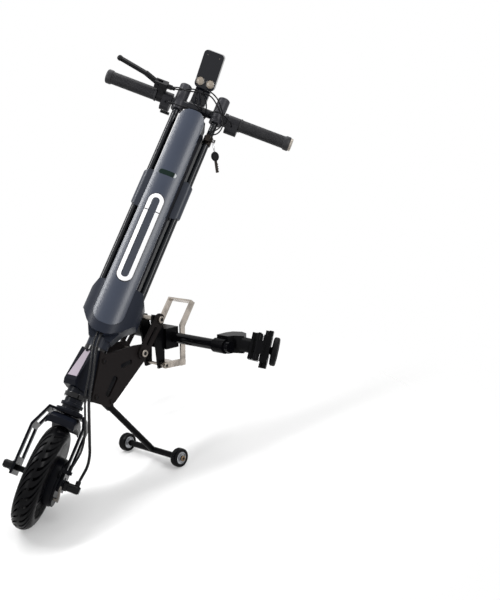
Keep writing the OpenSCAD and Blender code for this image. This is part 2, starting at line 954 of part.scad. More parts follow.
module battery_tray() {
    depth = case_back_y + case_split_y - seat;
    mid_y = (case_back_y - case_split_y + seat) / 2;
    color("#1b1f27") in_steer() difference() {
        union() {
            translate([0, mid_y, case_foot_z])
                linear_extrude(case_top_z - case_foot_z)
                    round_rect_2d(2 * case_x, depth, 8);
            translate([0, 0, case_foot_z])
                linear_extrude(shoulder_top_z - case_foot_z)
                    tray_outline(0, -case_split_y + seat);
        }
        translate([0, mid_y - case_wall - 10, case_foot_z + case_wall])
            linear_extrude(case_top_z - case_foot_z - 2 * case_wall)
                round_rect_2d(2 * (case_x - case_wall), depth + 20, 6);
        translate([0, 0, case_foot_z + case_wall])
            linear_extrude(shoulder_top_z - case_foot_z - 2 * case_wall)
                tray_outline(case_wall, -case_split_y - 10);
        translate([gland[0], gland[1], case_top_z - case_wall - 1])
            cylinder(r = gland_r + seat, h = 20);
    }
}

cell_r = 9.1;
cell_l = 65;
cell_pitch = 19;
cell_foot_z = 500;
cell_room = 60;
cell_levels = floor((case_top_z - case_wall - cell_room - cell_foot_z) / (cell_l + 3));

module cell_pack() {
    color("#3f7fb5") in_steer()
        for (i = [-1, 1], j = [-1 : 1], k = [0 : cell_levels - 1])
            translate([j * cell_pitch, i * cell_pitch / 2 + 8, cell_foot_z + k * (cell_l + 3)])
                cylinder(r = cell_r, h = cell_l + (k < cell_levels - 1 ? 3 : 0));
}

module controller() {
    box_w = 2 * (case_x - case_wall) - 14;
    color("#9a9da1") in_steer() difference() {
        translate([-box_w / 2, 2, case_foot_z + case_wall])
            cube([box_w, case_back_y - case_wall - 2, cell_foot_z - case_foot_z - case_wall]);
        for (k = [-3 : 3])
            translate([k * 7 - 1.5, 1, case_foot_z])
                cube([3, 9, 200]);
    }
}

module charge_window() {
    color("#22483a") in_steer() intersection() {
        plate_xz(-cover_front_y - 5, -ring_back_y - seat)
            translate([0, window_z])
                strip_2d([-(window_w - window_h) / 2, 0], [(window_w - window_h) / 2, 0], window_h);
        crown_solid(0.4);
    }
}

ring_proud = 1.2;

module ring_trim() {
    color("#f2f3f4") in_steer() intersection() {
        plate_xz(-cover_front_y - 5, -ring_back_y - seat)
            intersection() {
                ring_outline(ring_low, ring_high, ring_x, 0);
                translate([-50, ring_foot_z - 10])
                    square([100, ring_split_z - ring_foot_z + 10]);
            }
        crown_solid(ring_proud);
    }
}

// Folding carry handle: the top arch of the ring, hinged on the front edge where the ring is split
module carry_handle() {
    color("#f5f6f7") in_steer() intersection() {
        plate_xz(-cover_front_y - 5, -ring_back_y - seat)
            intersection() {
                ring_outline(ring_low, ring_high, ring_x, 0);
                translate([-50, ring_split_z + gap])
                    square([100, 100]);
            }
        crown_solid(ring_proud);
    }
}

// Handlebar
bar_in = bar_half - 6;

module handlebar() {
    color("#1d1f22") in_steer()
        translate([0, 0, bar_z])
            tube_along_x(bar_r, bar_r - 2, -bar_in, bar_in);
}

module grips() {
    color("#2a2a2c") in_steer()
        translate([0, 0, bar_z])
            for (side = [-1, 1]) mirrored(side) difference() {
                union() {
                    bar_x(grip_r, grip_in_x + 4, bar_half - 16);
                    bar_x(grip_r + 1.5, grip_in_x, grip_in_x + 4);
                    bar_x(grip_r + 2, bar_half - 16, bar_half - 2);
                    bar_x(grip_r - 2, bar_half - 2, bar_half);
                }
                bar_x(bar_r + seat, grip_in_x - 1, bar_in + seat);
            }
}

// Brake lever frame: origin on the bar, -y forward and a little up, z square to the blade
lever_x = 13 - grip_in_x;
lever_rise = 29;
lever_out = 32;
adjuster_y = -36;
adjuster_end = 30;
lever_pivot = [-14, -34];
module in_lever() {
    in_steer()
        translate([lever_x, 0, bar_z])
            rotate([-lever_rise, 0, 0])
                children();
}

module brake_bracket() {
    color("#202226") in_lever() difference() {
        union() {
            bar_x(bar_r + 5, -11, 5);
            translate([-11, -26, -9])
                cube([16, 26, 18]);
            translate([-24, -44, -9])
                cube([34, 20, 18]);
            translate([0, adjuster_y, 0]) {
                bar_x(6.5, 5, adjuster_end - 8);
                bar_x(5, 5, adjuster_end);
            }
        }
        bar_x(bar_r + seat, -40, 40);
        translate([-40, -60, -4 - gap])
            cube([36, 34 - gap, 8 + 2 * gap]);
        translate([lever_pivot[0], lever_pivot[1], -20])
            cylinder(r = 3 + run, h = 40);
        translate([0, adjuster_y, 0])
            bar_x(wire_r + seat, adjuster_end - 10, 40);
    }
}

module brake_lever() {
    tip = lever_pivot + [-lever_l, -lever_out];
    bend = lever_pivot + [-36, -lever_out / 2];
    color("#2b2e33") in_lever() {
        translate([0, 0, -4])
            linear_extrude(8)
                union() {
                    slot_2d(lever_pivot, bend, 12);
                    slot_2d(bend, tip, 10);
                }
        translate([tip[0], tip[1], 0])
            rotate_extrude()
                polygon([[0, -6], [4, -6], [7, -3], [7, 3], [4, 6], [0, 6]]);
        translate([lever_pivot[0], lever_pivot[1], -11])
            cylinder(r = 3, h = 22);
    }
}

// Pods: the throttle pod on the right of the column, the switch pod on the left
pod_throttle = [lever_x + 5, -tube_x - cap_r - 4];
pod_switch = [tube_x + cap_r + 13, grip_in_x - 1];
pod_drop = 20;
pod_r = 17;
throttle_axis = [10, -17];
throttle_slot = 9;

module pod_outline() {
    circle(pod_r);
    translate([-pod_r + 3, -pod_drop])
        square([2 * pod_r - 6, pod_drop]);
    translate([0, -pod_drop])
        circle(pod_r - 3);
}

module control_pods() {
    throttle_mid = (pod_throttle[0] + pod_throttle[1]) / 2;
    color("#26282c") in_steer()
        translate([0, 0, bar_z]) difference() {
            union() {
                plate_yz(pod_throttle[0], pod_throttle[1]) pod_outline();
                plate_yz(pod_switch[0], pod_switch[1]) pod_outline();
                bar_x(pod_r + 1, tube_x + cap_r + 3, pod_switch[0] - 2);
            }
            bar_x(bar_r + seat, -200, 200);
            translate([throttle_mid - throttle_slot / 2, 2, -pod_drop - 20])
                cube([throttle_slot, 40, pod_drop + 8]);
            translate([0, throttle_axis[0], throttle_axis[1]])
                bar_x(2.5 + run, throttle_mid - 9, throttle_mid + 9);
            translate([(pod_switch[0] + pod_switch[1]) / 2, 0, button_z])
                rotate([-90, 0, 0])
                    translate([0, 0, 4])
                        cylinder(r = button_r + gap, h = 40);
            for (start = pod_wires)
                translate([start[0], start[1], start[2] - bar_z])
                    rotate([90, 0, 0])
                        cylinder(r = wire_r + seat, h = 20);
        }
}

module throttle_lever() {
    mid = (pod_throttle[0] + pod_throttle[1]) / 2;
    color("#34373c") in_steer()
        translate([mid, throttle_axis[0], bar_z + throttle_axis[1]]) {
            bar_x(2.5, -8, 8);
            plate_yz(-throttle_slot / 2 + gap, throttle_slot / 2 - gap)
                strip_2d([0, 0], [26, -6], 8);
            translate([0, 26, -6])
                bar_x(4, -12, 12);
        }
}

button_r = 5;
button_z = -17;
button_travel = 2.5;

module horn_button() {
    color("#9a2a22") in_steer()
        translate([(pod_switch[0] + pod_switch[1]) / 2, 4 + button_travel + gap, bar_z + button_z])
            rotate([-90, 0, 0])
                cylinder(r = button_r, h = 14);
}

// Display frame: origin at the foot of the display, z up its face
display_x = -8;
display_foot_z = bar_z + 61;
stalk_x = 20;
display_t = 22;
screen_w = display_w - 12;
screen_h = 62;
lamp_r = 11;
lamp_z = 17;
lamp_x = 14;
module in_display() {
    in_steer()
        translate([display_x, -4, display_foot_z])
            rotate([display_tilt, 0, 0])
                children();
}

module display_housing() {
    color("#101114") {
        in_display() difference() {
            plate_xz(-display_t / 2, display_t / 2)
                translate([0, display_h / 2])
                    round_rect_2d(display_w, display_h, 10);
            translate([-screen_w / 2 - seat, display_t / 2 - 2, display_h - screen_h - 10])
                cube([screen_w + 2 * seat, 4, screen_h + 2 * seat]);
            for (x = [-lamp_x, lamp_x])
                translate([x, -display_t / 2 + 3, lamp_z])
                    rotate([90, 0, 0])
                        cylinder(r = lamp_r + seat, h = 20);
        }
        in_steer()
            translate([display_x, 0, bar_z]) difference() {
                union() {
                    bar_x(bar_r + 5, -stalk_x, stalk_x);
                    translate([-stalk_x, -7, 0])
                        cube([2 * stalk_x, 14, display_foot_z - bar_z + 4]);
                }
                bar_x(bar_r + seat, -stalk_x - 1, stalk_x + 1);
                translate([-30, -4, display_foot_z - bar_z])
                    rotate([display_tilt, 0, 0])
                        translate([0, -60, 0])
                            cube([60, 120, 60]);
                for (start = display_wires)
                    translate([start[0] - display_x, start[1], start[2] - bar_z])
                        rotate([90, 0, 0])
                            cylinder(r = wire_r + seat, h = 20);
            }
    }
}

module display_screen() {
    color("#16303a") in_display()
        translate([-screen_w / 2, display_t / 2 - 2 + seat, display_h - screen_h - 10 + seat])
            cube([screen_w, 1.6, screen_h]);
}

module display_lamps() {
    color("#cbb89b") in_display()
        for (x = [-lamp_x, lamp_x])
            translate([x, -display_t / 2 + 3 - seat, lamp_z])
                rotate([90, 0, 0])
                    cylinder(r = lamp_r, h = 3.4);
}

// Lock bracket on the left tube, with the key ring through its eye
lock_z = bar_z - 73;
eye_in = [tube_x + 15, -13, lock_z];
eye_r = 2.6;
eye_t = 3;

module key_lock() {
    color("#3a3128") in_steer() difference() {
        union() {
            translate([tube_x, 0, lock_z - 12])
                cylinder(r = tube_r + 3, h = 24);
            translate([tube_x - 6, -24, lock_z - 9])
                cube([12, 20, 18]);
            translate([tube_x + 5, eye_in[1] - eye_t / 2, lock_z - 4])
                cube([16, eye_t, 8]);
        }
        translate([tube_x, 0, lock_z - 20])
            cylinder(r = tube_r + seat, h = 40);
        translate([eye_in[0], -30, eye_in[2]])
            rotate([-90, 0, 0])
                cylinder(r = eye_r, h = 40);
        translate(lock_wire)
            cylinder(r = wire_r + seat, h = 20);
    }
}

// The ring hangs straight down from the eye with its plane along the eye's hole, and the fob
// and key hang on the ring
key_ring_r = 14;
key_wire_r = 0.9;
key_turn = 50;
fob_h = 24;
fob_foot_z = -2 * key_ring_r - fob_h + 1;
key_l = 32;

module in_key() {
    in_steer()
        translate(eye_in)
            rotate([0, 0, -steer])
                rotate([lean, 0, 0])
                    rotate([0, 0, key_turn])
                        children();
}

module hanging_key() {
    color("#8f9297") in_key() {
        translate([0, 0, -key_ring_r])
            rotate([90, 0, 90])
                rotate_extrude()
                    translate([key_ring_r, 0])
                        circle(key_wire_r, $fn = 16);
        translate([-9, -3, fob_foot_z]) difference() {
            cube([18, 6, fob_h]);
            translate([9, -1, fob_h - 2.5])
                rotate([-90, 0, 0])
                    cylinder(r = 2.2, h = 10);
        }
        translate([-4, -1, fob_foot_z - key_l + 2])
            cube([8, 2, key_l]);
    }
}

// Docking frame
module link_outline() {
    difference() {
        strip_2d(link_low, link_top, link_w);
        strip_2d(link_low + 0.26 * (link_top - link_low), link_low + 0.74 * (link_top - link_low), 9);
        for (p = [link_low, link_top])
            translate(p)
                circle(bolt_r + run);
    }
}

module dock_links() {
    color("#2a2624") in_column() {
        plate_yz(link_in_x, link_out_x) link_outline();
        plate_yz(-link_out_x, -link_in_x) link_outline();
    }
}

// The same points seen in the dock frame
function to_dock(p) = let (y = p[0] - arm_y, z = p[1] - arm_z)
    [y * cos(dock_lean) + z * sin(dock_lean), -y * sin(dock_lean) + z * cos(dock_lean)];
top_bolt = to_dock(link_top);
block_x = link_in_x;
block_front = -30;
block_back = 14;
block_half_z = 27;
web_in_x = 20;
web_out_x = 27;
loop_pin = [-41, -65];

module dock_block() {
    web = [[block_front + 2, -block_half_z + 2], [block_front + 2, block_half_z - 2],
        top_bolt + [14, 6], top_bolt + [-10, 12], top_bolt + [-14, -6], [-58, 0],
        loop_pin + [-10, 4], loop_pin + [-8, -10], loop_pin + [12, -8]];
    color("#17181a") in_dock() difference() {
        union() {
            translate([-block_x, block_front, -block_half_z])
                cube([2 * block_x, block_back - block_front, 2 * block_half_z]);
            for (side = [-1, 1]) mirrored(side)
                plate_yz(web_in_x, web_out_x)
                    polygon(web);
        }
        bar_x(arm_r + seat, -block_x - 1, block_x + 1);
        translate([0, top_bolt[0], top_bolt[1]])
            bar_x(bolt_r + seat, -50, 50);
        translate([0, loop_pin[0], loop_pin[1]])
            bar_x(pin_r + seat, -60, 60);
        translate([-60, block_back - 2, 4])
            cube([120, 10, 3]);
    }
}

pin_r = 4;
loop_x = 40;
loop_t = 4.5;
loop_w = 16;

module dock_bolts() {
    color("#bdb9b0") in_dock() {
        translate([0, top_bolt[0], top_bolt[1]]) {
            bar_x(bolt_r, -link_out_x, link_out_x);
            for (side = [-1, 1]) mirrored(side) {
                bar_x(9, link_out_x, link_out_x + bolt_head_h);
                tube_along_x(9, bolt_r + seat, web_out_x + seat, link_in_x - seat);
            }
        }
        translate([0, loop_pin[0], loop_pin[1]]) {
            bar_x(pin_r, -web_out_x - 1, loop_x + loop_t + 2);
            bar_x(7, -web_out_x - 5, -web_out_x - seat);
            bar_x(7, loop_x + loop_t / 2 + gap, loop_x + loop_t / 2 + 4);
            tube_along_x(6, pin_r + seat, web_out_x + seat, loop_x - loop_t / 2 - gap);
        }
    }
}

module arm_tube() {
    color("#1d1e20") in_dock() {
        tube_along_x(arm_r, arm_r - 2.5, -arm_half, arm_half);
        for (side = [-1, 1]) mirrored(side)
            bar_x(arm_r - 2.5 - seat, arm_half - 12, arm_half);
    }
}

// Release loop: a bent flat bar behind the arm tube, hinged on the pin of its tab
loop_front = 15.5;
loop_low = -77;
loop_bend = [loop_front + loop_w / 2, 28];
loop_top = [64, 86];

module release_lever() {
    lean_back = atan2(loop_top[0] - loop_bend[0], loop_top[1] - loop_bend[1]);
    across = loop_w / 2 * [cos(lean_back), -sin(lean_back)];
    color("#c9c4bb") in_dock() {
        for (side = [-1, 1])
            plate_yz(side * loop_x - loop_t / 2, side * loop_x + loop_t / 2)
                polygon([[loop_front, loop_low], [loop_front + loop_w, loop_low],
                    [loop_front + loop_w, loop_bend[1] - 4], loop_top + across, loop_top - across,
                    [loop_front, loop_bend[1] + 4]]);
        translate([-loop_x, loop_front, loop_low])
            cube([2 * loop_x, loop_w, loop_t]);
        translate([0, loop_top[0], loop_top[1]])
            rotate([-lean_back, 0, 0])
                translate([-loop_x, -loop_w / 2, -loop_t])
                    cube([2 * loop_x, loop_w, loop_t]);
        plate_yz(loop_x - loop_t / 2, loop_x + loop_t / 2)
            difference() {
                strip_2d(loop_pin, [loop_front + 8, loop_low + 9], 17);
                translate(loop_pin)
                    circle(pin_r + run);
            }
    }
}

// Collar with its knuckle: it slides along the arm tube and carries the clamp's swivel
collar_in_x = 178;
collar_out_x = 214;
knuckle_low = -19;
knuckle_top = 25;
swivel_r = 8;
swivel_face = -27;
swivel_back = -50;

module knuckle_outline() {
    polygon([[collar_in_x, 6], [collar_out_x, 6], [collar_out_x + 6, 22], [243, 33], [226, 62],
        [205, 70], [184, 58], [collar_in_x, 40]]);
}

module collar(side) {
    color("#16171a") difference() {
        union() {
            in_dock() mirrored(side) {
                bar_x(collar_r, collar_in_x, collar_out_x);
                translate([0, 0, knuckle_low])
                    linear_extrude(knuckle_top - knuckle_low)
                        knuckle_outline();
            }
            in_clamp(side)
                bar_x(18, swivel_back, swivel_face);
        }
        in_dock() mirrored(side)
            bar_x(arm_r + run, collar_in_x - 1, collar_out_x + 40);
        in_clamp(side)
            bar_x(swivel_r + run, swivel_back - 0.5, swivel_face + 1);
    }
}

module collar_left() { collar(1); }
module collar_right() { collar(-1); }

// Clamp: the fixed half is on the swivel, the other half turns on a pin beside the gripped tube
jaw_split = 2;
jaw_y = 25;
jaw_in_x = swivel_face + gap;
jaw_out_x = 22;
jaw_pin = [-8, -jaw_y - 6];
jaw_pin_r = 4;
screw_y = 20;
screw_r = 4;
screw_slot = screw_r + 1.5;
wing_l = 14;

module clamp_body(side) {
    half_l = clamp_l / 2;
    color("#121316") in_clamp(side) difference() {
        union() {
            translate([jaw_in_x, -jaw_y, -half_l])
                cube([-jaw_split - jaw_in_x, jaw_y + jaw_y + 4, clamp_l]);
            translate([jaw_pin[0], jaw_pin[1], -half_l])
                cylinder(r = 8, h = clamp_l);
            translate([jaw_pin[0] - 8, -jaw_y - 6, -half_l])
                cube([8, 12, clamp_l]);
            bar_x(swivel_r, swivel_back + gap, jaw_in_x + 2);
            bar_x(15, jaw_in_x - gap / 2, jaw_in_x + 1);
        }
        translate([0, 0, -half_l - 1])
            cylinder(r = chair_tube_r, h = clamp_l + 2);
        translate([jaw_pin[0], jaw_pin[1], -half_l - 1])
            cylinder(r = jaw_pin_r + run, h = clamp_l + 2);
        translate([jaw_pin[0] - 12, jaw_pin[1] - 12, -half_l / 2 - gap])
            cube([22, 24, half_l + 2 * gap]);
        translate([-16, screw_y - screw_r - 1, -screw_slot])
            cube([20, 40, 2 * screw_slot]);
    }
}

module clamp_jaw(side) {
    half_l = clamp_l / 2;
    color("#0f1012") in_clamp(side) {
        difference() {
            union() {
                translate([jaw_split, -jaw_y, -half_l])
                    cube([jaw_out_x - jaw_split, 2 * jaw_y + 4, clamp_l]);
                translate([jaw_split, -jaw_y - 8, -half_l / 2])
                    cube([8, 12, half_l]);
                translate([jaw_pin[0], jaw_pin[1], -half_l / 2])
                    cylinder(r = 7, h = half_l);
                translate([jaw_pin[0], jaw_pin[1] - 7, -half_l / 2])
                    cube([jaw_split - jaw_pin[0] + 4, 9, half_l]);
                translate([jaw_split, -8, -half_l - wing_l])
                    cube([jaw_out_x - jaw_split, 30, clamp_l + 2 * wing_l]);
            }
            translate([0, 0, -half_l])
                cylinder(r = chair_tube_r, h = clamp_l);
            for (z = [-half_l - 30, half_l])
                translate([0, 0, z])
                    cylinder(r = chair_tube_r + 2, h = 30);
            translate([0, screw_y, 0])
                bar_x(screw_r + run, -10, 60);
        }
        translate([jaw_pin[0], jaw_pin[1], -half_l - 2])
            cylinder(r = jaw_pin_r, h = clamp_l + 4);
    }
}

knob_t = 15;

module clamp_knob(side) {
    color("#1e2024") in_clamp(side)
        translate([0, screw_y, 0]) {
            bar_x(screw_r, -12, jaw_out_x + 2);
            bar_x(10, jaw_out_x + gap, jaw_out_x + 4);
            translate([jaw_out_x + 4, 0, 0])
                rotate([0, 90, 0])
                    rotate_extrude($fn = 96)
                        polygon([[0, 0], [knob_r - 3, 0], [knob_r, 3], [knob_r, knob_t - 3],
                            [knob_r - 3, knob_t], [knob_r - 12, knob_t], [knob_r - 14, knob_t - 3],
                            [0, knob_t - 3]]);
        }
}

module clamp_body_left() { clamp_body(1); }
module clamp_body_right() { clamp_body(-1); }
module clamp_jaw_left() { clamp_jaw(1); }
module clamp_jaw_right() { clamp_jaw(-1); }
module clamp_knob_left() { clamp_knob(1); }
module clamp_knob_right() { clamp_knob(-1); }

// Cables, in the turned column frame
lead_exit = [3, -42, chin_z + 8];
cable_exit = [-6, -42, chin_z + 8];
gland = [14, 8];
gland_r = 9;
gland_top_z = cover_top_z - 4;
brake_cable_points = [
    cable_exit, cable_exit + [0, 0, -12], cable_exit + [0, 0, -20], [-3, -54, 332], [4, -62, 312],
    [17, -66, 260], [30, -66, 200], [52, -66, 150], [66, -66, 115], [72, -64, 80], [66, -61, 52],
    cable_stop + [0, 0, 18], cable_stop + [0, 0, 9], cable_stop
];
motor_lead_points = [
    lead_exit, lead_exit + [0, 0, -12], lead_exit + [0, 0, -20], [6, -55, 330], [13, -63, 310],
    [26, -67, 258], [39, -67, 200], [62, -65, 150], [78, -57, 112], [91, -40, 80],
    [boot_x + 10, -20, 52], [boot_x + 2, -4, 36], [boot_x, 0, 28], [boot_x, 0, 20], [boot_x, 0, lead_end_z]
];

// Wires from the brake bracket, the two pods and the display to the gland, and one to the lock
lever_wire = [lever_x + adjuster_end - 8, adjuster_y * cos(lever_rise),
    bar_z - adjuster_y * sin(lever_rise)];
pod_wires = [[-85, -11, bar_z - 17], [98, -11, bar_z - 17]];
display_wires = [[-12, -4, bar_z + 45], [-4, -4, bar_z + 49]];
lock_wire = [tube_x, -14, lock_z + 5];
gland_near = [gland[0] + 4, gland[1] - 4];
gland_far = [gland[0] - 4, gland[1] - 4];
gland_in_z = gland_top_z - 3;
function over(x, y, up) = [x, y, bar_z + up];
function at_gland(p, z) = [p[0], p[1], z];
wire_points = [
    [lever_wire, lever_wire + [6, 0, 0], lever_wire + [12, 0, 0], over(-46, -37, 24), over(-24, -41, 32),
        over(6, -42, 22), over(22, -36, -2), over(22, -14, -18), at_gland(gland_near, bar_z - 23),
        at_gland(gland_near, gland_in_z)],
    [display_wires[0], display_wires[0] + [0, -5, 0], display_wires[0] + [0, -10, 0], over(-4, -30, 29),
        over(8, -28, 3), over(gland[0] - 4, gland[1] - 20, -18), at_gland(gland_far, gland_in_z)],
    [pod_wires[0], pod_wires[0] + [0, -5, 0], pod_wires[0] + [0, -10, 0], over(-74, -32, -23),
        over(-50, -36, -25), over(-26, -36, -19), over(0, -24, -21), at_gland(gland_far, bar_z - 23),
        at_gland(gland_far + [0, 8], gland_in_z)],
    [pod_wires[1], pod_wires[1] + [0, -5, 0], pod_wires[1] + [0, -10, 0], over(88, -32, -13),
        over(64, -34, -3), over(40, -28, -1), over(28, -10, -19), at_gland(gland_near + [0, 6], bar_z - 23),
        at_gland(gland_near + [0, 8], gland_in_z)],
    [display_wires[1], display_wires[1] + [0, -5, 0], display_wires[1] + [0, -10, 0], over(8, -28, 49),
        over(34, -38, 35), over(60, -38, 9), over(76, -36, -19), over(72, -32, -43),
        over(tube_x + 3, -22, -51), lock_wire + [0, 0, 13], lock_wire + [0, 0, 6], lock_wire]
];

module brake_cable() {
    color("#121316") in_steer()
        cord(brake_cable_points, cable_r, [1, 0.2, 0.1]);
}

module motor_lead() {
    color("#0e0f11") in_steer()
        cord(motor_lead_points, lead_r, [0.1, 1, 0.3]);
}

module wiring_harness() {
    color("#55585e") in_steer() {
        for (points = wire_points)
            cord(points, wire_r, [0.2, 1, 0.15]);
        translate([gland[0], gland[1], case_top_z - case_wall])
            cylinder(r = gland_r, h = gland_top_z - case_top_z + case_wall);
    }
}

head_tube();
headset();
frame_plates();
frame_bolts();
head_hood();
headlight_lens();
stand_leg();
stand_wheel_left();
stand_wheel_right();
steerer();
fork();
mudguard();
axle();
axle_fittings();
motor_stator();
brake_plate();
brake_cable();
motor_lead();
base_dock();
column_tubes();
tube_clasps();
bar_clamps();
battery_cover();
battery_tray();
cell_pack();
controller();
charge_window();
ring_trim();
handlebar();
grips();
brake_bracket();
control_pods();
display_housing();
display_screen();
display_lamps();
key_lock();
wiring_harness();
carry_handle();
brake_lever();
brake_arm();
throttle_lever();
horn_button();
hanging_key();
tyre();
hub_shell();
hub_cover();
wheel_bearings();
dock_links();
dock_block();
dock_bolts();
arm_tube();
release_lever();
collar_left();
collar_right();
clamp_body_left();
clamp_body_right();
clamp_jaw_left();
clamp_jaw_right();
clamp_knob_left();
clamp_knob_right();
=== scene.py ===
import json
import math
import bpy
from mathutils import Matrix, Vector
from mathutils.geometry import interpolate_bezier

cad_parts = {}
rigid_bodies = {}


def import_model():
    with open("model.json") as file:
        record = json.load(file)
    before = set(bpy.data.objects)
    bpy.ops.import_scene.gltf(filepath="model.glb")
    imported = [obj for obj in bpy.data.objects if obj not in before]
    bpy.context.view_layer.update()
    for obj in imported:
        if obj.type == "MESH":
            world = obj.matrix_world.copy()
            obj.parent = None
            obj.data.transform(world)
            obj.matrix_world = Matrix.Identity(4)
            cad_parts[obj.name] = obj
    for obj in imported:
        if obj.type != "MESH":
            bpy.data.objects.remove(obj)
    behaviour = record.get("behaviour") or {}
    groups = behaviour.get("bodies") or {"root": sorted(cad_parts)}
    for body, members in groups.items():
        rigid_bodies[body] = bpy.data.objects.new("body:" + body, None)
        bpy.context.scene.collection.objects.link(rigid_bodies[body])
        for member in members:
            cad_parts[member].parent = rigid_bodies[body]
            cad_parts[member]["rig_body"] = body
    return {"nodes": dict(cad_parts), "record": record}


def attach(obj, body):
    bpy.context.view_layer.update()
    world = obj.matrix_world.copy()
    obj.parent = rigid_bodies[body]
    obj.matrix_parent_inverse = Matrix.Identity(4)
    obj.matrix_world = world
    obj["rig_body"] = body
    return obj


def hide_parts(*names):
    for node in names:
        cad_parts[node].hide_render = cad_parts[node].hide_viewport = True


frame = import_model()
nodes = frame["nodes"]
slots = {part["node"]: part["material_slot"] for part in frame["record"]["subparts"]}
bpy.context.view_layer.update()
bpy.ops.object.select_all(action="DESELECT")
scene = bpy.context.scene
scene.view_settings.view_transform = "Standard"

# Driving sizes, in metres and radians
LEAN = math.radians(43.305226)
STEER = math.radians(41)
DOCK_TILT = math.radians(33)
DISPLAY_TILT = math.radians(33)
WHEEL_CENTRE = (0, -0.356, 0.114411)
ARM_CENTRE = (0, 0.195, 0.443)
STAND_AXLE = (0.309, 0.167)
BAR_HEIGHT = 1.003
RING_TOP = 0.7095
RING_FOOT = 0.5105
RING_SPLIT = 0.6822
CABLE_RADIUS = 0.0025
LEAD_RADIUS = 0.0035
WIRE_RADIUS = 0.0018

# Merging distances, and angles between faces: joined as flat, rounded past, shaded as one
CAD_MERGE = 0.000002
TURNED_MERGE = 0.000001
FLAT_ANGLE = math.radians(0.6)
ROUNDED_ANGLE = math.radians(30)
CAD_SMOOTH = math.radians(32)
PIECE_SMOOTH = math.radians(34)

# Frames of the machine: column, turned column and dock
column = Matrix.Translation(WHEEL_CENTRE) @ Matrix.Rotation(-LEAN, 4, "X")
turned = column @ Matrix.Rotation(STEER, 4, "Z")
dock = column @ Matrix.Translation(ARM_CENTRE) @ Matrix.Rotation(DOCK_TILT, 4, "X")


# A place with its three axes
def pose(right, up, back, spot):
    return Matrix([(right[i], up[i], back[i], spot[i]) for i in range(3)] + [(0, 0, 0, 1)])


# Camera at the photograph's viewing angle
def place_camera():
    bpy.ops.object.camera_add()
    camera = bpy.context.object
    camera.name = "camera"
    right = (0.760073, 0.637481, -0.126125)
    up = (-0.102474, 0.309236, 0.945448)
    back = (0.641708, -0.705685, 0.300367)
    camera.matrix_world = pose(right, up, back, (1.66154, -1.3939, 1.0659))
    camera.data.sensor_fit = "VERTICAL"
    camera.data.sensor_height = 36
    camera.data.lens = 54.148
    scene.camera = camera


place_camera()


# Shader sums are written as expressions on wires
class Wire:
    def __init__(self, finish, socket):
        self.finish = finish
        self.socket = socket

    def sum(self, operation, first, second):
        return self.finish.add("ShaderNodeMath", {"operation": operation}, {0: first, 1: second})

    def __add__(self, other):
        return self.sum("ADD", self, other)

    def __radd__(self, other):
        return self.sum("ADD", other, self)

    def __sub__(self, other):
        return self.sum("SUBTRACT", self, other)

    def __rsub__(self, other):
        return self.sum("SUBTRACT", other, self)

    def __mul__(self, other):
        return self.sum("MULTIPLY", self, other)

    def __rmul__(self, other):
        return self.sum("MULTIPLY", other, self)

    def __pow__(self, other):
        return self.sum("POWER", self, other)

    def away(self, other):
        return self.sum("ABSOLUTE", self - other, 0)


class Finish:
    def __init__(self, name, **constants):
        self.material = bpy.data.materials.new(name)
        self.material.use_nodes = True
        self.tree = self.material.node_tree
        self.shader = self.tree.nodes["Principled BSDF"]
        self.set(**constants)

    def set(self, **values):
        for socket, value in values.items():
            self.join(self.shader.inputs[socket.replace("_", " ")], value)

    def join(self, socket, value):
        if isinstance(value, Wire):
            self.tree.links.new(value.socket, socket)
        else:
            socket.default_value = value

    def add(self, kind, settings=None, inputs=None, out=0):
        node = self.tree.nodes.new(kind)
        for key, value in (settings or {}).items():
            setattr(node, key, value)
        for key, value in (inputs or {}).items():
            self.join(node.inputs[key], value)
        return Wire(self, node.outputs[out])

    def place(self, scale=(1, 1, 1)):
        spot = self.add("ShaderNodeTexCoord", out="Object")
        return self.add("ShaderNodeMapping", None, {"Vector": spot, "Scale": scale})

    def noise(self, scale, detail, spot=None):
        return self.add("ShaderNodeTexNoise", None,
            {"Vector": spot or self.place(), "Scale": scale, "Detail": detail})

    # The x, y and z of a surface point in one of the machine's frames
    def local(self, where):
        back = where.inverted()
        spot = self.add("ShaderNodeTexCoord", out="Object")
        moved = self.add("ShaderNodeMapping", None,
            {"Vector": spot, "Location": back.to_translation(), "Rotation": back.to_euler()})
        return [self.add("ShaderNodeSeparateXYZ", None, {0: moved}, out=axis) for axis in range(3)]

    def step(self, value, low, high):
        return self.add("ShaderNodeMapRange", {"interpolation_type": "SMOOTHSTEP"},
            {"Value": value, "From Min": low, "From Max": high})

    def mix(self, first, second, factor):
        return self.add("ShaderNodeMix", {"data_type": "RGBA"}, {0: factor, 6: first, 7: second}, out=2)

    def bump(self, height, distance):
        self.set(Normal=self.add("ShaderNodeBump", None,
            {"Height": height, "Distance": distance, "Strength": 1.0}))


def shade(colour, gain):
    return tuple(min(1.0, c * gain) for c in colour) + (1.0,)


# Moulded plastic: a fine spark-eroded grain, a slow cloud in colour and gloss
def moulded(name, colour, rough, coat, specular=0.02):
    f = Finish(name, IOR=1.46, Coat_Roughness=0.8 * rough, Coat_Weight=coat, Specular_IOR_Level=specular)
    cloud, grit = f.noise(11, 3), f.noise(1300, 2)
    f.set(Base_Color=f.mix(shade(colour, 0.86), shade(colour, 1.16), cloud),
        Roughness=rough + (cloud - 0.5) * 0.14 + (grit - 0.5) * 0.1)
    f.bump(grit, 0.00006)
    return f.material


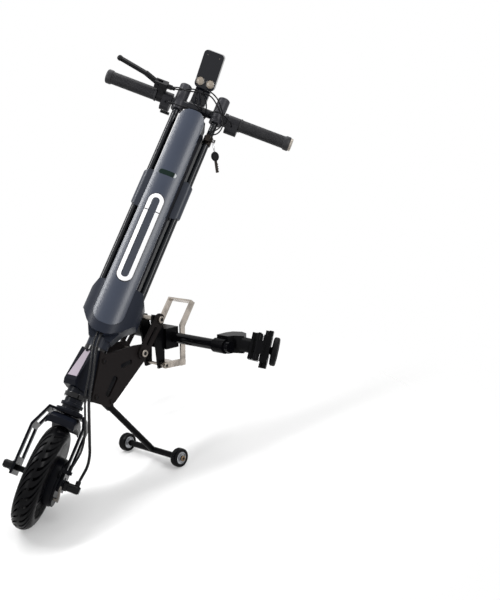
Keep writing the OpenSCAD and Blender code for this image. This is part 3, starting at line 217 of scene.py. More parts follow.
# Powder coat: orange peel under a satin film, rubbed paler in spots
def coated(name, colour, rough, coat):
    f = Finish(name, IOR=1.5, Coat_Roughness=0.8 * rough, Coat_Weight=coat, Specular_IOR_Level=0.02)
    cloud, skin, rub = f.noise(9, 4), f.noise(420, 2), f.noise(55, 5)
    worn = f.step(rub, 0.62, 0.8)
    film = f.mix(shade(colour, 0.85), shade(colour, 1.18), cloud)
    f.set(Base_Color=f.mix(film, shade(colour, 1.7), worn * 0.35),
        Roughness=rough + (cloud - 0.5) * 0.12 + worn * 0.08)
    f.bump(skin, 0.00009)
    return f.material


# Bare metal: brushed across, with stains that dull it
def bare_metal(name, colour, rough, brush=(40, 900, 900)):
    f = Finish(name, Metallic=1.0)
    lines, stain = f.noise(1.0, 4, f.place(brush)), f.noise(38, 4)
    f.set(Base_Color=f.mix(shade(colour, 0.62), shade(colour, 1.08), f.step(stain, 0.3, 0.62)),
        Roughness=rough + (lines - 0.5) * 0.22 + (0.5 - stain) * 0.18)
    f.bump(lines, 0.00003)
    return f.material


# Rubber: dull, dusty on its high places
def rubber(name, colour, rough, amount, coat):
    f = Finish(name, IOR=1.5, Specular_IOR_Level=0.02, Coat_Roughness=0.8 * rough, Coat_Weight=coat)
    cloud, grit = f.noise(26, 5), f.noise(1500, 2)
    dust = (0.05, 0.049, 0.048, 1)
    f.set(Base_Color=f.mix(shade(colour, 1), dust, f.step(cloud, 0.42, 0.75) * amount),
        Roughness=rough + (grit - 0.5) * 0.16)
    f.bump(grit, 0.00008)
    return f.material


# Gloss: a clear hard skin with faint swirls
def gloss(name, colour, rough, coat=0.6, specular=0.5):
    f = Finish(name, IOR=1.52, Coat_Weight=coat, Coat_Roughness=0.05, Specular_IOR_Level=specular)
    cloud, swirl = f.noise(7, 2), f.noise(160, 4)
    f.set(Base_Color=f.mix(shade(colour, 0.9), shade(colour, 1.1), cloud),
        Roughness=rough + f.step(swirl, 0.5, 0.75) * 0.08)
    f.bump(swirl, 0.00002)
    return f.material


# Cover: satin navy, with a painted shadow in the gap round the ring, and inside the ring painted shade over
# fine ribs
def cover_finish():
    f = Finish("cover_navy_satin", IOR=1.46, Coat_Roughness=0.22, Coat_Weight=0.2, Specular_IOR_Level=0.4)
    x, _, z = f.local(turned)
    beyond = z.sum("MAXIMUM", z - RING_TOP, RING_FOOT - z)
    beyond = z.sum("MAXIMUM", beyond, 0.0)
    reach = (x * x + beyond * beyond) ** 0.5
    # painted shadow: a near-black band in the gap round the ring, where shade falls
    painted_gap_shadow = 1 - f.step(reach.away(0.0206), 0.0008, 0.0014)
    # painted shade: inside the ring the cover is darkened as the shade of the slot there; its fine ribs and
    # rougher skin are real
    inside = 1 - f.step(reach, 0.0094, 0.0100)
    ribs = f.add("ShaderNodeMath", {"operation": "SINE"}, {0: (x + z) * 3900.0})
    cloud, grit = f.noise(11, 3), f.noise(1500, 2)
    colour = (0.0205, 0.0275, 0.046)
    body = f.mix(shade(colour, 0.86), shade(colour, 1.16), cloud)
    body = f.mix(body, shade(colour, 0.45), inside * (0.7 + ribs * 0.3))
    f.set(Base_Color=f.mix(body, (0.002, 0.002, 0.003, 1), painted_gap_shadow),
        Roughness=0.34 + (cloud - 0.5) * 0.12 + (grit - 0.5) * 0.1 + inside * 0.2)
    f.bump(grit + inside * ribs * 0.6, 0.00004)
    return f.material


# Ring: gloss white, with a painted dark line of shade where the handle parts from it
def ring_finish():
    f = Finish("ring_white_parted", IOR=1.52, Coat_Weight=0.3, Coat_Roughness=0.06)
    _, _, z = f.local(turned)
    cloud = f.noise(7, 2)
    # painted shade: a dark line across the ring at its joint with the handle
    painted_joint_shade = 1 - f.step(z.away(RING_SPLIT), 0.0009, 0.0016)
    skin = f.mix((0.76, 0.76, 0.78, 1), (0.88, 0.88, 0.9, 1), cloud)
    f.set(Base_Color=f.mix(skin, (0.01, 0.01, 0.012, 1), painted_joint_shade),
        Roughness=0.2 + cloud * 0.06)
    f.bump(f.noise(160, 4), 0.00002)
    return f.material


# Charge window: smoked green with a painted highlight at its end
def window_finish():
    f = Finish("window_smoked_green", IOR=1.52, Coat_Weight=0.1, Coat_Roughness=0.05,
        Specular_IOR_Level=0.1)
    x, _, _ = f.local(turned)
    cloud = f.noise(60, 2)
    glass = f.mix((0.002, 0.008, 0.006, 1), (0.004, 0.014, 0.010, 1), cloud)
    # painted highlight: a pale patch at the window's end that stands in for a reflection
    painted_highlight_end = f.step(x, 0.0165, 0.0185)
    f.set(Base_Color=f.mix(glass, (0.45, 0.47, 0.48, 1), painted_highlight_end),
        Roughness=0.1 + cloud * 0.08)
    f.bump(cloud, 0.00002)
    return f.material


finishes = {
    "cover": cover_finish(),
    "ring": ring_finish(),
    "window": window_finish(),
    "case": moulded("case_navy_matte", (0.005, 0.0055, 0.008), 0.5, coat=0.15),
    "base": moulded("base_navy_matte", (0.0115, 0.0145, 0.0235), 0.42, coat=0.2, specular=0.05),
    "clasp": moulded("clasp_navy_matte", (0.024, 0.0285, 0.041), 0.42, coat=0.4, specular=0.1),
    "black_part": moulded("part_black_matte", (0.004, 0.004, 0.005), 0.4, coat=0.22),
    "grey_part": moulded("part_grey_matte", (0.010, 0.010, 0.012), 0.46, coat=0.3),
    "cap": moulded("cap_grey_matte", (0.026, 0.026, 0.031), 0.46, coat=0.4),
    "hood": moulded("hood_navy_satin", (0.004, 0.005, 0.009), 0.3, coat=0.14),
    "tube": coated("tube_black_satin", (0.008, 0.009, 0.012), 0.2, coat=0.5),
    "steer_metal": coated("steerer_blue_black", (0.006, 0.0072, 0.0115), 0.3, coat=0.16),
    "fork": coated("fork_black", (0.0034, 0.0038, 0.0056), 0.26, coat=0.07),
    "plate": coated("plate_brown_black", (0.011, 0.009, 0.009), 0.56, coat=0.1),
    "dock": coated("dock_black", (0.002, 0.002, 0.0025), 0.3, coat=0.09),
    "arm": coated("arm_gloss_black", (0.0026, 0.0026, 0.0034), 0.14, coat=0.26),
    "headset": coated("headset_gloss_black", (0.003, 0.003, 0.004), 0.12, coat=0.6),
    "hub": coated("hub_blue_black", (0.0026, 0.0029, 0.0044), 0.3, coat=0.09),
    "knob": moulded("knob_black_matte", (0.004, 0.004, 0.0045), 0.44, coat=0.1),
    "zinc": bare_metal("bolt_zinc", (0.31, 0.28, 0.245), 0.34),
    "dull_zinc": bare_metal("spacer_dull_zinc", (0.16, 0.145, 0.13), 0.4),
    "steel": bare_metal("steel_turned", (0.60, 0.60, 0.61), 0.26),
    "nickel": bare_metal("loop_nickel", (0.40, 0.36, 0.32), 0.27, (30, 700, 30)),
    "alloy": bare_metal("alloy_cast", (0.5, 0.51, 0.53), 0.42),
    "bronze": bare_metal("lock_bronze", (0.026, 0.022, 0.019), 0.42),
    "copper": bare_metal("winding_copper", (0.55, 0.26, 0.12), 0.4, (900, 60, 60)),
    "tyre": rubber("tyre_charcoal", (0.0022, 0.0022, 0.0028), 0.32, 0.04, 0.12),
    "grip": rubber("grip_black", (0.016, 0.016, 0.018), 0.5, 0.2, 0.35),
    "cable": rubber("cable_black", (0.004, 0.004, 0.005), 0.3, 0.1, 0.35),
    "wire": rubber("wire_black", (0.003, 0.003, 0.004), 0.34, 0.1, 0.2),
    "display": gloss("display_slate", (0.005, 0.0055, 0.008), 0.16, 0.15, 0.2),
    "screen": gloss("screen_glass", (0.008, 0.016, 0.020), 0.06, 0.9),
    "lamp": gloss("lamp_tan", (0.25, 0.21, 0.165), 0.12),
    "lens": gloss("lens_pink_white", (0.36, 0.31, 0.365), 0.12, 0.3, 0.3),
    "red": gloss("button_red", (0.26, 0.022, 0.016), 0.28),
    "brass": bare_metal("stand_bolt_brass", (0.25, 0.175, 0.11), 0.36),
    "cell": gloss("cell_blue", (0.05, 0.16, 0.34), 0.3),
}


def dress(piece, finish):
    piece.data.materials.clear()
    piece.data.materials.append(finishes[finish])


def choose(piece):
    bpy.ops.object.select_all(action="DESELECT")
    piece.select_set(True)
    bpy.context.view_layer.objects.active = piece


# Takes a fresh copy of a CAD solid and joins its triangles into faces
def fresh_copy(node, name):
    piece = bpy.data.objects.new(name, nodes[node].data.copy())
    scene.collection.objects.link(piece)
    choose(piece)
    bpy.ops.mesh.customdata_custom_splitnormals_clear()
    bpy.ops.object.mode_set(mode="EDIT")
    bpy.ops.mesh.select_all(action="SELECT")
    bpy.ops.mesh.remove_doubles(threshold=CAD_MERGE)
    bpy.ops.mesh.dissolve_limited(angle_limit=FLAT_ANGLE)
    bpy.ops.object.mode_set(mode="OBJECT")
    return piece


# A CAD solid with its edges rounded
def softened(node, width, finish):
    piece = fresh_copy(node, node + "_finished")
    bevel = piece.modifiers.new("round", "BEVEL")
    bevel.limit_method = "ANGLE"
    bevel.angle_limit = ROUNDED_ANGLE
    bevel.width = width
    bevel.segments = 2
    bpy.ops.object.modifier_apply(modifier=bevel.name)
    bpy.ops.object.shade_smooth_by_angle(angle=CAD_SMOOTH)
    even = piece.modifiers.new("even", "WEIGHTED_NORMAL")
    even.keep_sharp = True
    bpy.ops.object.modifier_apply(modifier=even.name)
    dress(piece, finish)
    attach(piece, nodes[node]["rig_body"])
    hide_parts(node)


# Cords: each follows its points on one smooth curve, in millimetres of the turned column
def make_cord(name, route, radius, finish, stands_for):
    points = [turned @ (Vector(point) / 1000) for point in route]
    line = bpy.data.curves.new(name, "CURVE")
    line.dimensions = "3D"
    line.bevel_depth = radius
    line.bevel_resolution = 4
    line.resolution_u = 10
    line.use_fill_caps = True
    spline = line.splines.new("BEZIER")
    spline.bezier_points.add(len(points) - 1)
    steps = [b - a for a, b in zip(points, points[1:])]
    befores, afters = steps[:1] + steps, steps + steps[-1:]
    for knot, point, before, after in zip(spline.bezier_points, points, befores, afters):
        near, far = before.length, after.length
        slope = (before * far / near + after * near / far) / (near + far)
        knot.co = point
        knot.handle_left = point - slope * near / 3
        knot.handle_right = point + slope * far / 3
    for first, second in zip(spline.bezier_points, spline.bezier_points[1:]):
        samples = interpolate_bezier(first.co, first.handle_right, second.handle_left, second.co, 24)
    piece = bpy.data.objects.new(name, line)
    scene.collection.objects.link(piece)
    dress(piece, finish)
    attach(piece, "column")
    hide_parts(stands_for)


# Solids that keep their CAD shape
for node, finish in {
    "column_tubes": "tube", "handlebar": "tube", "arm_tube": "arm", "axle": "hub", "motor_stator": "copper",
    "cell_pack": "cell", "controller": "alloy", "wheel_bearings": "steel", "stand_leg": "dock",
}.items():
    for place in nodes[node].material_slots:
        place.material = finishes[finish]

# Solids whose edges are rounded: node, edge radius in metres, finish
for node, width, finish in (
    ("head_tube", 0.001, "steer_metal"), ("headset", 0.0016, "headset"),
    ("frame_plates", 0.0014, "plate"), ("frame_bolts", 0.0008, "dull_zinc"),
    ("head_hood", 0.0024, "hood"), ("headlight_lens", 0.0008, "lens"),
    ("steerer", 0.0012, "steer_metal"), ("fork", 0.0012, "fork"), ("axle_fittings", 0.001, "arm"),
    ("brake_plate", 0.0008, "hub"), ("base_dock", 0.003, "base"), ("tube_clasps", 0.0022, "clasp"),
    ("bar_clamps", 0.0014, "cap"), ("battery_cover", 0.003, "cover"), ("battery_tray", 0.0015, "case"),
    ("ring_trim", 0.0009, "ring"), ("carry_handle", 0.0009, "ring"),
    ("charge_window", 0.0006, "window"), ("brake_bracket", 0.002, "black_part"),
    ("control_pods", 0.005, "grey_part"), ("display_housing", 0.003, "display"),
    ("display_screen", 0.0005, "screen"), ("key_lock", 0.001, "bronze"),
    ("brake_lever", 0.0022, "black_part"), ("brake_arm", 0.0006, "dull_zinc"),
    ("throttle_lever", 0.001, "black_part"), ("horn_button", 0.001, "red"),
    ("hub_shell", 0.0012, "hub"), ("hub_cover", 0.001, "hub"), ("dock_links", 0.0012, "plate"),
    ("dock_block", 0.0015, "dock"), ("dock_bolts", 0.0008, "zinc"), ("release_lever", 0.0012, "nickel"),
    ("collar_left", 0.003, "dock"), ("collar_right", 0.003, "dock"),
    ("clamp_body_left", 0.0018, "dock"), ("clamp_body_right", 0.0018, "dock"),
    ("clamp_jaw_left", 0.0018, "dock"), ("clamp_jaw_right", 0.0018, "dock"),
    ("clamp_knob_left", 0.0014, "knob"), ("clamp_knob_right", 0.0014, "knob"),
):
    softened(node, width, finish)

# Brake cable and motor lead from under the chin of the base, then the wires round the handlebar
make_cord("brake_cable_run", [
    (-6, -42, 364), (-6, -42.4, 352), (-5.2, -46, 338), (-2, -53, 321), (4, -60, 300), (17, -66, 256),
    (30, -67, 200), (50, -66.5, 152), (64, -66, 116), (70, -64, 82), (66.5, -61.5, 54), (64, -60.2, 40),
    (63.5, -60, 32), (63.5, -60, 24)], CABLE_RADIUS, "cable", "brake_cable")
make_cord("motor_lead_run", [
    (3, -42, 364), (3, -42.4, 352), (4, -46.5, 337), (7, -54, 319), (13, -61, 298), (26, -67, 254),
    (40, -68, 200), (60, -66, 152), (77, -58, 112), (89, -43, 80), (91.5, -26, 57), (88.4, -12, 38),
    (85.4, -3.4, 22), (84, 0, 11)], LEAD_RADIUS, "cable", "motor_lead")
for name, route in {
    "lever_wire": [
        (-80, -31.5, 1020.5), (-68, -31.8, 1021), (-46, -37, 1027), (-24, -41, 1034), (2, -42, 1028),
        (19, -38, 1008), (24, -26, 990), (22, -10, 980), (19, 0, 973), (18, 4, 967)],
    "display_wire": [
        (-12, -4, 1048), (-12, -12, 1047), (-9, -22, 1040), (-2, -29, 1026), (6, -28, 1008),
        (10, -18, 990), (10.5, -4, 977), (10, 4, 967)],
    "throttle_wire": [
        (-85, -11, 986), (-84.5, -19, 985.5), (-78, -28, 983), (-64, -34, 980), (-45, -36.5, 979),
        (-24, -35, 982), (-4, -25, 983), (7, -9, 981), (10.5, 5, 975), (10, 12, 967)],
    "switch_wire": [
        (98, -11, 986), (97.5, -19, 986.5), (91, -29, 990), (76, -34, 996), (58, -33, 1001),
        (40, -26, 1000), (28, -12, 990), (21, 2, 980), (18, 12, 967)],
    "lock_wire": [
        (-4, -4, 1052), (-3.5, -13, 1052), (2, -24, 1051), (16, -33, 1047), (36, -38, 1036),
        (58, -39, 1013), (73, -37, 985), (73.5, -33.5, 964), (67, -29, 955.5), (58.5, -22, 950),
        (54.2, -16.8, 943), (53, -14, 935)],
    "loop_wire": [
        (-80, -26, 1026), (-62, -34, 1027), (-39, -42, 1023), (-8, -47, 1028), (22, -47, 1029),
        (48, -45, 1011), (70, -41, 986), (79, -37, 962), (73, -31, 946), (62, -25, 940), (54, -21, 937)],
    "stalk_wire": [
        (-20, -10, 1052), (-21, -18, 1044), (-18, -27, 1032), (-9, -32, 1014), (2, -29, 997),
        (10, -17, 984), (14, -1, 977), (14, 10, 967)],
}.items():
    make_cord(name, route, WIRE_RADIUS, "wire", "wiring_harness")


# A small plane to shape a piece from
def start_piece(name):
    bpy.ops.object.select_all(action="DESELECT")
    bpy.ops.mesh.primitive_plane_add(size=0.01)
    piece = bpy.context.object
    piece.name = name
    return piece


# Puts a piece that was modelled in one of the machine's frames in its place
def settle(piece, where, finish, body, slot, *stands_for):
    choose(piece)
    piece.matrix_world = where
    bpy.ops.object.transform_apply(location=True, rotation=True, scale=True)
    bpy.ops.object.mode_set(mode="EDIT")
    bpy.ops.mesh.select_all(action="SELECT")
    bpy.ops.mesh.normals_make_consistent(inside=False)
    bpy.ops.object.mode_set(mode="OBJECT")
    bpy.ops.object.shade_smooth_by_angle(angle=PIECE_SMOOTH)
    dress(piece, finish)
    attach(piece, body)
    if stands_for:
        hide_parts(*stands_for)
    return piece


# Turns a profile of (along, radius) points about X; a closed profile repeats its first point
def lathe(name, profile, steps, sweep=2 * math.pi):
    piece = start_piece(name)
    bpy.ops.object.mode_set(mode="EDIT")
    bpy.ops.mesh.merge(type="CENTER")
    bpy.ops.transform.translate(value=(profile[0][0], 0, profile[0][1]))
    for (x0, r0), (x1, r1) in zip(profile, profile[1:]):
        bpy.ops.mesh.extrude_region_move(TRANSFORM_OT_translate={"value": (x1 - x0, 0, r1 - r0)})
    bpy.ops.mesh.select_all(action="SELECT")
    bpy.ops.mesh.spin(steps=steps, angle=sweep, center=(0, 0, 0), axis=(1, 0, 0))
    bpy.ops.mesh.select_all(action="SELECT")
    bpy.ops.mesh.remove_doubles(threshold=TURNED_MERGE)
    bpy.ops.mesh.normals_make_consistent(inside=False)
    bpy.ops.object.mode_set(mode="OBJECT")
    return piece


# A solid block with rounded edges, centred on a point
def block(name, size, centre, width, segments=3):
    bpy.ops.object.select_all(action="DESELECT")
    bpy.ops.mesh.primitive_cube_add(size=1, location=centre, scale=size)
    piece = bpy.context.object
    piece.name = name
    bpy.ops.object.transform_apply(location=True, rotation=True, scale=True)
    bpy.ops.object.mode_set(mode="EDIT")
    bpy.ops.mesh.select_all(action="SELECT")
    bpy.ops.mesh.bevel(offset=width, segments=segments, affect="EDGES")
    bpy.ops.object.mode_set(mode="OBJECT")
    return piece


# Leaves a piece in edit mode with the faces selected whose middles keep a rule
def pick_faces(piece, rule):
    bpy.ops.object.mode_set(mode="EDIT")
    bpy.ops.mesh.select_mode(type="FACE")
    bpy.ops.mesh.select_all(action="DESELECT")
    bpy.ops.object.mode_set(mode="OBJECT")
    for face in piece.data.polygons:
        face.select = rule(face.center)
    bpy.ops.object.mode_set(mode="EDIT")


def joined(name, pieces):
    bpy.ops.object.select_all(action="DESELECT")
    for piece in pieces:
        piece.select_set(True)
    bpy.context.view_layer.objects.active = pieces[0]
    bpy.ops.object.join()
    pieces[0].name = name
    return pieces[0]


def copied(piece, where):
    choose(piece)
    bpy.ops.object.duplicate()
    copy = bpy.context.object
    copy.data.transform(where)
    return copy


# Front tyre: three of every eight columns of a turned section are sunk, and its rings are then twisted
# so that the grooves slant away from the middle
def make_tyre():
    ring, half, grooves, columns, sunk_columns, depth = 0.099, 0.026, 34, 8, 3, 0.0034
    middle, shoulder, slant, slant_end = math.radians(7), math.radians(80), 1.2, 1.4
    angles = [math.radians(a) for a in (-137, -126, -114, -102, -90, -78, -66, -54, -42, -30, -18, -6)]
    angles = angles + [-a for a in reversed(angles)]
    profile = [(half * math.sin(a), ring + half * math.cos(a)) for a in angles]
    tyre = lathe("tyre_tread", profile + profile[:1], grooves * columns)
    pitch = 2 * math.pi / grooves

    def section_angle(x, y, z):
        return math.atan2(x, math.hypot(y, z) - ring)

    def is_groove(spot):
        column_turn = math.floor(math.atan2(spot.z, spot.y) / pitch * columns)
        return middle < abs(section_angle(*spot)) < shoulder and column_turn % columns < sunk_columns

    pick_faces(tyre, is_groove)
    bpy.ops.mesh.extrude_region_shrink_fatten(TRANSFORM_OT_shrink_fatten={"value": -depth})
    bpy.ops.mesh.select_mode(type="VERT")
    bpy.ops.object.mode_set(mode="OBJECT")
    for a in angles:
        for v in tyre.data.vertices:
            v.select = abs(section_angle(*v.co) - a) < 0.05
        bpy.ops.object.mode_set(mode="EDIT")
        bpy.ops.transform.rotate(value=-slant * pitch * min(abs(a), slant_end) / slant_end, orient_axis="X",
            center_override=(0, 0, 0))
        bpy.ops.object.mode_set(mode="OBJECT")
    settle(tyre, turned, "tyre", "front_wheel", "tyre_black", "tyre")


# Grips: ribbed sleeves with a flange inside and a flared end, and a bare plug in the left one
def make_grips():
    sleeve, groove, rib_pitch, ribs_end = 0.0165, 0.0157, 0.0034, 0.2365
    profile = [(0.1151, 0.0112), (0.115, 0.0172), (0.1158, 0.018), (0.1184, 0.018), (0.1192, sleeve)]
    x = 0.1215
    while x < ribs_end:
        profile += [(x, sleeve), (x + 0.0006, groove), (x + 0.0014, groove), (x + 0.002, sleeve)]
        x += rib_pitch
    profile += [(0.2385, sleeve), (0.2400, 0.0182), (0.2420, 0.0187), (0.2510, 0.0187), (0.2530, 0.0180),
        (0.2546, 0.0160), (0.2550, 0.0120), (0.2544, 0.0090), (0.2544, 0.0), (0.2492, 0.0),
        (0.2492, 0.0112), (0.1151, 0.0112)]
    bar = Matrix.Translation((0, 0, BAR_HEIGHT))
    left = lathe("grip_left", profile, 40)
    right = copied(left, Matrix.Scale(-1, 4, (1, 0, 0)))
    both = joined("grip_sleeves", [left, right])
    settle(both, turned @ bar, "grip", "column", "rubber_black", "grips")
    plug = lathe("grip_end_plug", [(0.2540, 0.0), (0.2540, 0.0166), (0.2586, 0.0166), (0.2598, 0.0150),
        (0.2602, 0.0060), (0.2594, 0.0050), (0.2594, 0.0)], 32)
    settle(plug, turned @ bar, "zinc", "column", "bare_alloy")


# Stand wheels: a grooved tyre on a dished rim
def make_stand_wheels():
    tyre = [(-0.0078, 0.0150), (-0.0098, 0.0168), (-0.0100, 0.0205), (-0.0086, 0.0228), (-0.0060, 0.0239),
        (-0.0032, 0.0240), (-0.0024, 0.0232), (-0.0014, 0.0232), (-0.0006, 0.0240)]
    tyre = tyre + [(-x, r) for x, r in reversed(tyre)]
    rim = [(-0.0082, 0.0152), (-0.0082, 0.0138), (-0.0052, 0.0128), (-0.0048, 0.0090), (-0.0096, 0.0084),
        (-0.0100, 0.0076), (-0.0100, 0.0041)]
    rim = rim + [(-x, r) for x, r in reversed(rim)]
    for side, name in ((1, "left"), (-1, "right")):
        where = column @ Matrix.Translation((side * 0.0975, *STAND_AXLE))
        body = "stand_wheel_" + name
        settle(lathe(body + "_tyre", tyre + tyre[:1], 48), where, "tyre", body, "stand_tyre", body)
        settle(lathe(body + "_rim", rim + rim[:1], 48), where, "alloy", body, "bare_alloy")


# Mudguard: a thick saddle over the tyre with a skirt on each side
def make_mudguard():
    sweep = math.radians(54)
    half = [(0.0310, 0.130), (0.0295, 0.1335), (0.022, 0.1350), (0.0, 0.1355)]
    outside = [(0.0, 0.1520), (0.029, 0.1510), (0.0338, 0.1450), (0.034, 0.130)]
    inner = half + [(-x, r) for x, r in reversed(half[:-1])]
    outer = [(-x, r) for x, r in reversed(outside)] + outside[1:]
    saddle = lathe("mudguard_saddle", inner + outer + inner[:1], 28, sweep)
    bpy.ops.object.mode_set(mode="EDIT")
    bpy.ops.mesh.select_all(action="SELECT")
    bpy.ops.mesh.fill_holes(sides=0)
    bpy.ops.object.mode_set(mode="OBJECT")
    lean_over = sum(v.co.y for v in saddle.data.vertices)
    back_to_middle = Matrix.Rotation(math.copysign(sweep / 2, lean_over), 4, "X")
    settle(saddle, turned @ back_to_middle, "steer_metal", "column", slots["mudguard"], "mudguard")


# A plate on the fork's left side, and a dark block behind the lower slots of the side plates: painted shade
# for the shadowed inside of the frame seen through them
def make_blade_and_slot_shade():
    blade = block("fork_blade", (0.0026, 0.030, 0.074), (0.0472, 0, 0.1045), 0.001, 2)
    settle(blade, turned, "fork", "column", slots["fork"])
    # painted shade: a black block that darkens what shows through the plates' lower slots
    slot_shade_block = block("plate_slot_shade", (0.008, 0.052, 0.030), (0, 0.066, 0.234), 0.001, 2)
    settle(slot_shade_block, column, "dock", nodes["head_tube"]["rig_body"], slots["head_tube"])


# Socket bolt: a rounded head with a dark hexagon sunk in it, facing along X of its place
def bolt_head(name, where, radius, node, finish):
    body, slot, hole = nodes[node]["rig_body"], slots[node], 0.54 * radius
    head = lathe(name, [(-0.001, 0.0), (-0.001, radius), (0.0008, radius), (0.0016, radius - 0.0009),
        (0.0016, 0.56 * radius), (0.0003, 0.52 * radius), (0.0003, 0.0)], 32)
    settle(head, where, finish, body, slot)
    socket = lathe(name + "_socket", [(-0.0002, 0.0), (-0.0002, hole), (0.0006, hole), (0.0006, 0.0)], 6)
    settle(socket, where, "black_part", body, slot)


# Bolts on both sides of the frame: a name, a place (y, z) on the column, the distance out, radius and node
def make_bolts():
    about = Matrix.Rotation(math.pi, 4, "Z")
    for turn, side in ((Matrix.Identity(4), "left"), (about, "right")):
        for name, y, z, out, radius, node, finish in (
            ("link_low_bolt_%s", 0.110, 0.364, 0.0468, 0.009, "frame_bolts", "zinc"),
            ("plate_bolt_%s_1", 0.008, 0.300, 0.037, 0.006, "frame_bolts", "plate"),
            ("plate_bolt_%s_2", 0.030, 0.215, 0.037, 0.006, "frame_bolts", "plate"),
            ("plate_bolt_%s_3", 0.080, 0.222, 0.037, 0.006, "frame_bolts", "plate"),
            ("link_top_bolt_%s", 0.119, 0.460, 0.0464, 0.009, "dock_bolts", "zinc"),
            ("stand_bolt_%s", *STAND_AXLE, 0.1115, 0.007, "stand_leg", "brass"),
        ):
            where = column @ Matrix.Translation((0, y, z)) @ turn @ Matrix.Translation((out, 0, 0))
            bolt_head(name % side, where, radius, node, finish)
    loop_pin = dock @ Matrix.Translation((0.0462, -0.041, -0.065))
    bolt_head("loop_pin_bolt", loop_pin, 0.007, "dock_bolts", "zinc")


# Key on its ring: a wire ring, an oval black bow and a notched blade
def make_key():
    eye = turned @ Matrix.Translation((0.068, -0.013, 0.930))
    upright = Matrix.Rotation(-STEER, 4, "Z") @ Matrix.Rotation(LEAN, 4, "X")
    hang = eye @ upright @ Matrix.Rotation(math.radians(50), 4, "Z")
    body, slot = nodes["hanging_key"]["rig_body"], slots["hanging_key"]
    ring_radius, wire_radius, tooth_pitch = 0.014, 0.0009, 0.0062
    turns = [a * math.pi / 6 for a in range(12)]
    wire = [(wire_radius * math.cos(a), ring_radius + wire_radius * math.sin(a)) for a in turns]
    ring = lathe("key_ring", wire + wire[:1], 48)
    settle(ring, hang @ Matrix.Translation((0, 0, -ring_radius)), "steel", body, slot, "hanging_key")
    bow = lathe("key_bow", [(-0.0030, 0.0), (-0.0030, 0.0062), (-0.0020, 0.0068), (-0.0020, 0.0086),
        (-0.0030, 0.0092), (-0.0022, 0.0101), (0.0022, 0.0101), (0.0030, 0.0092), (0.0020, 0.0086),
        (0.0020, 0.0068), (0.0030, 0.0062), (0.0030, 0.0)], 40)
    below = hang @ Matrix.Translation((0, 0, -0.0395)) @ Matrix.Rotation(math.pi / 2, 4, "Z")
    settle(bow, below @ Matrix.Scale(1.22, 4, (0, 0, 1)), "black_part", body, slot, "hanging_key")
    blade = block("key_blade", (0.0072, 0.0019, 0.032), (0, 0, -0.066), 0.0004, 1)
    heights = [-0.060 - tooth_pitch * i for i in range(4)]
    teeth = [block("tooth", (0.0022, 0.0017, 0.0030), (0.0042, 0, z), 0.0004, 1) for z in heights]
    settle(joined("key_blade", [blade] + teeth), hang, "bronze", body, slot, "hanging_key")


# Display face: two lamps with dark rims, and two small screws over them
def make_display_face():
    face = turned @ Matrix.Translation((-0.008, -0.004, 1.064)) @ Matrix.Rotation(DISPLAY_TILT, 4, "X")
    ahead = Matrix.Rotation(-math.pi / 2, 4, "Z")
    for side, name in ((1, "left"), (-1, "right")):
        spot = face @ Matrix.Translation((side * 0.014, -0.011, 0.017)) @ ahead
        glass = lathe("lamp_glass_" + name, [(-0.002, 0.0), (-0.002, 0.0108), (0.0002, 0.0108),
            (0.0012, 0.0086), (0.0017, 0.0045), (0.0018, 0.0)], 40)
        settle(glass, spot, "lamp", "column", slots["display_lamps"], "display_lamps")
        rim = [(0.0, 0.0106), (0.0, 0.0124), (0.0014, 0.0122), (0.0018, 0.0115), (0.0014, 0.0107)]
        rim = lathe("lamp_rim_" + name, rim + rim[:1], 40)
        settle(rim, spot, "display", "column", slots["display_housing"])
        screw = lathe("display_screw_" + name, [(-0.0006, 0.0), (-0.0006, 0.0015), (0.0003, 0.0015),
            (0.0006, 0.0011), (0.0002, 0.0006), (0.0002, 0.0)], 16)
        over = face @ Matrix.Translation((side * 0.016, -0.011, 0.086)) @ ahead
        settle(screw, over, "dull_zinc", "column", slots["display_housing"])


# Gland where the wires pass into the battery's head, and the tie that holds the two cables together
def make_gland_and_tie():
    upright = Matrix.Rotation(-math.pi / 2, 4, "Y")
    gland = lathe("wire_gland", [(-0.001, 0.0), (-0.001, 0.0092), (0.0042, 0.0092), (0.0050, 0.0084),
        (0.0060, 0.0084), (0.0078, 0.0074), (0.0088, 0.0058), (0.0088, 0.0)], 32)
    settle(gland, turned @ Matrix.Translation((0.014, 0.008, 0.961)) @ upright, "black_part", "column",
        slots["wiring_harness"], "wiring_harness")
    band = [(-0.0016, 0.0086), (-0.0016, 0.0098), (0.0016, 0.0098), (0.0016, 0.0086)]
    tie = lathe("cable_tie", band + band[:1], 32)
    spot = turned @ Matrix.Translation((0.0345, -0.0665, 0.200))
    slant = Matrix.Rotation(math.radians(-16), 4, "Y")
    flat = Matrix.Scale(0.5, 4, (0, 1, 0))
    settle(tie, spot @ slant @ upright @ flat, "black_part", "column", slots["brake_cable"])


# Dark line round the headlight's lens
def make_lens_frame():
    edge = fresh_copy("headlight_lens", "lens_frame")
    bpy.ops.object.mode_set(mode="EDIT")
    bpy.ops.mesh.select_all(action="SELECT")
    bpy.ops.transform.shrink_fatten(value=0.0011)
    bpy.ops.transform.translate(value=column.to_3x3() @ Vector((0, 0.0009, 0.0002)))
    bpy.ops.object.mode_set(mode="OBJECT")
    settle(edge, Matrix.Identity(4), "headset", nodes["headlight_lens"]["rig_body"], slots["head_hood"])


make_tyre()
make_mudguard()
make_blade_and_slot_shade()
make_grips()
make_stand_wheels()
make_bolts()
make_key()
make_display_face()
make_gland_and_tie()
make_lens_frame()


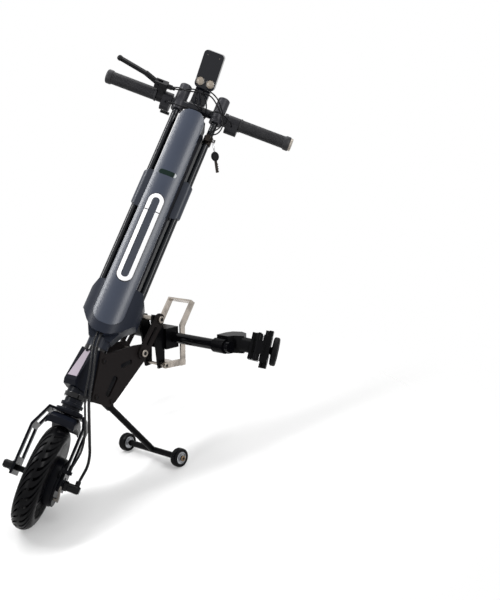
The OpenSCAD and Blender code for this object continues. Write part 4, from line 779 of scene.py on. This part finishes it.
# Floor that keeps the shadow near the wheel and fades out, and a white world that lights it softly
def set_stage():
    opacity, fade_from, fade_to = 0.75, 0.42, 0.95
    bpy.ops.mesh.primitive_plane_add(size=16, location=(0, 0, 0))
    floor = bpy.context.object
    floor.name = "floor"
    f = Finish("floor_pale", Roughness=0.85, Specular_IOR_Level=0.1)
    far = f.add("ShaderNodeVectorMath", {"operation": "LENGTH"}, {0: f.place()}, out="Value")
    f.set(Base_Color=f.mix((0.93, 0.93, 0.93, 1), (0.95, 0.95, 0.95, 1), f.noise(3, 2)),
        Alpha=opacity - opacity * f.step(far, fade_from, fade_to))
    floor.data.materials.append(f.material)
    world = bpy.data.worlds.new("studio")
    scene.world = world
    world.use_nodes = True
    tree = world.node_tree
    sky = tree.nodes["Background"]
    sky.inputs["Color"].default_value = (1, 1, 1, 1)
    path = tree.nodes.new("ShaderNodeLightPath")
    seen = path.outputs["Is Camera Ray"]
    for ray in ("Is Glossy Ray", "Is Transmission Ray"):
        either = tree.nodes.new("ShaderNodeMath")
        either.operation = "MAXIMUM"
        tree.links.new(seen, either.inputs[0])
        tree.links.new(path.outputs[ray], either.inputs[1])
        seen = either.outputs[0]
    level = tree.nodes.new("ShaderNodeMapRange")
    level.inputs["To Min"].default_value = 0.3
    level.inputs["To Max"].default_value = 1.0
    tree.links.new(seen, level.inputs["Value"])
    tree.links.new(level.outputs["Result"], sky.inputs["Strength"])


# A flat lamp that faces its aim, with its long side along a given direction
def lamp(name, spot, aim, along, size, power):
    bpy.ops.object.light_add(type="AREA")
    light = bpy.context.object
    light.name = name
    light.data.shape = "RECTANGLE"
    light.data.size, light.data.size_y = size
    light.data.energy = power
    back = (Vector(spot) - Vector(aim)).normalized()
    side = Vector(along).cross(back).normalized()
    up = back.cross(side)
    light.matrix_world = pose(side, up, back, spot)


set_stage()
lamp("lamp_top", (-0.3, 1.0, 2.6), (0, 0, 0.4), (0, 1, 0), (2.0, 2.0), 34)
lamp("strip_left", (-0.47, -0.55, 1.66), (0.0, 0.03, 0.62), (0.04, 0.75, 0.66), (0.24, 1.2), 20)
lamp("strip_right", (1.25, 0.10, 1.10), (0.05, 0.05, 0.6), (-0.12, 0.69, 0.71), (0.36, 1.2), 12)
lamp("lamp_front", (0.3, -2.2, 1.0), (0, -0.1, 0.4), (0, 0, 1), (0.9, 1.2), 7)
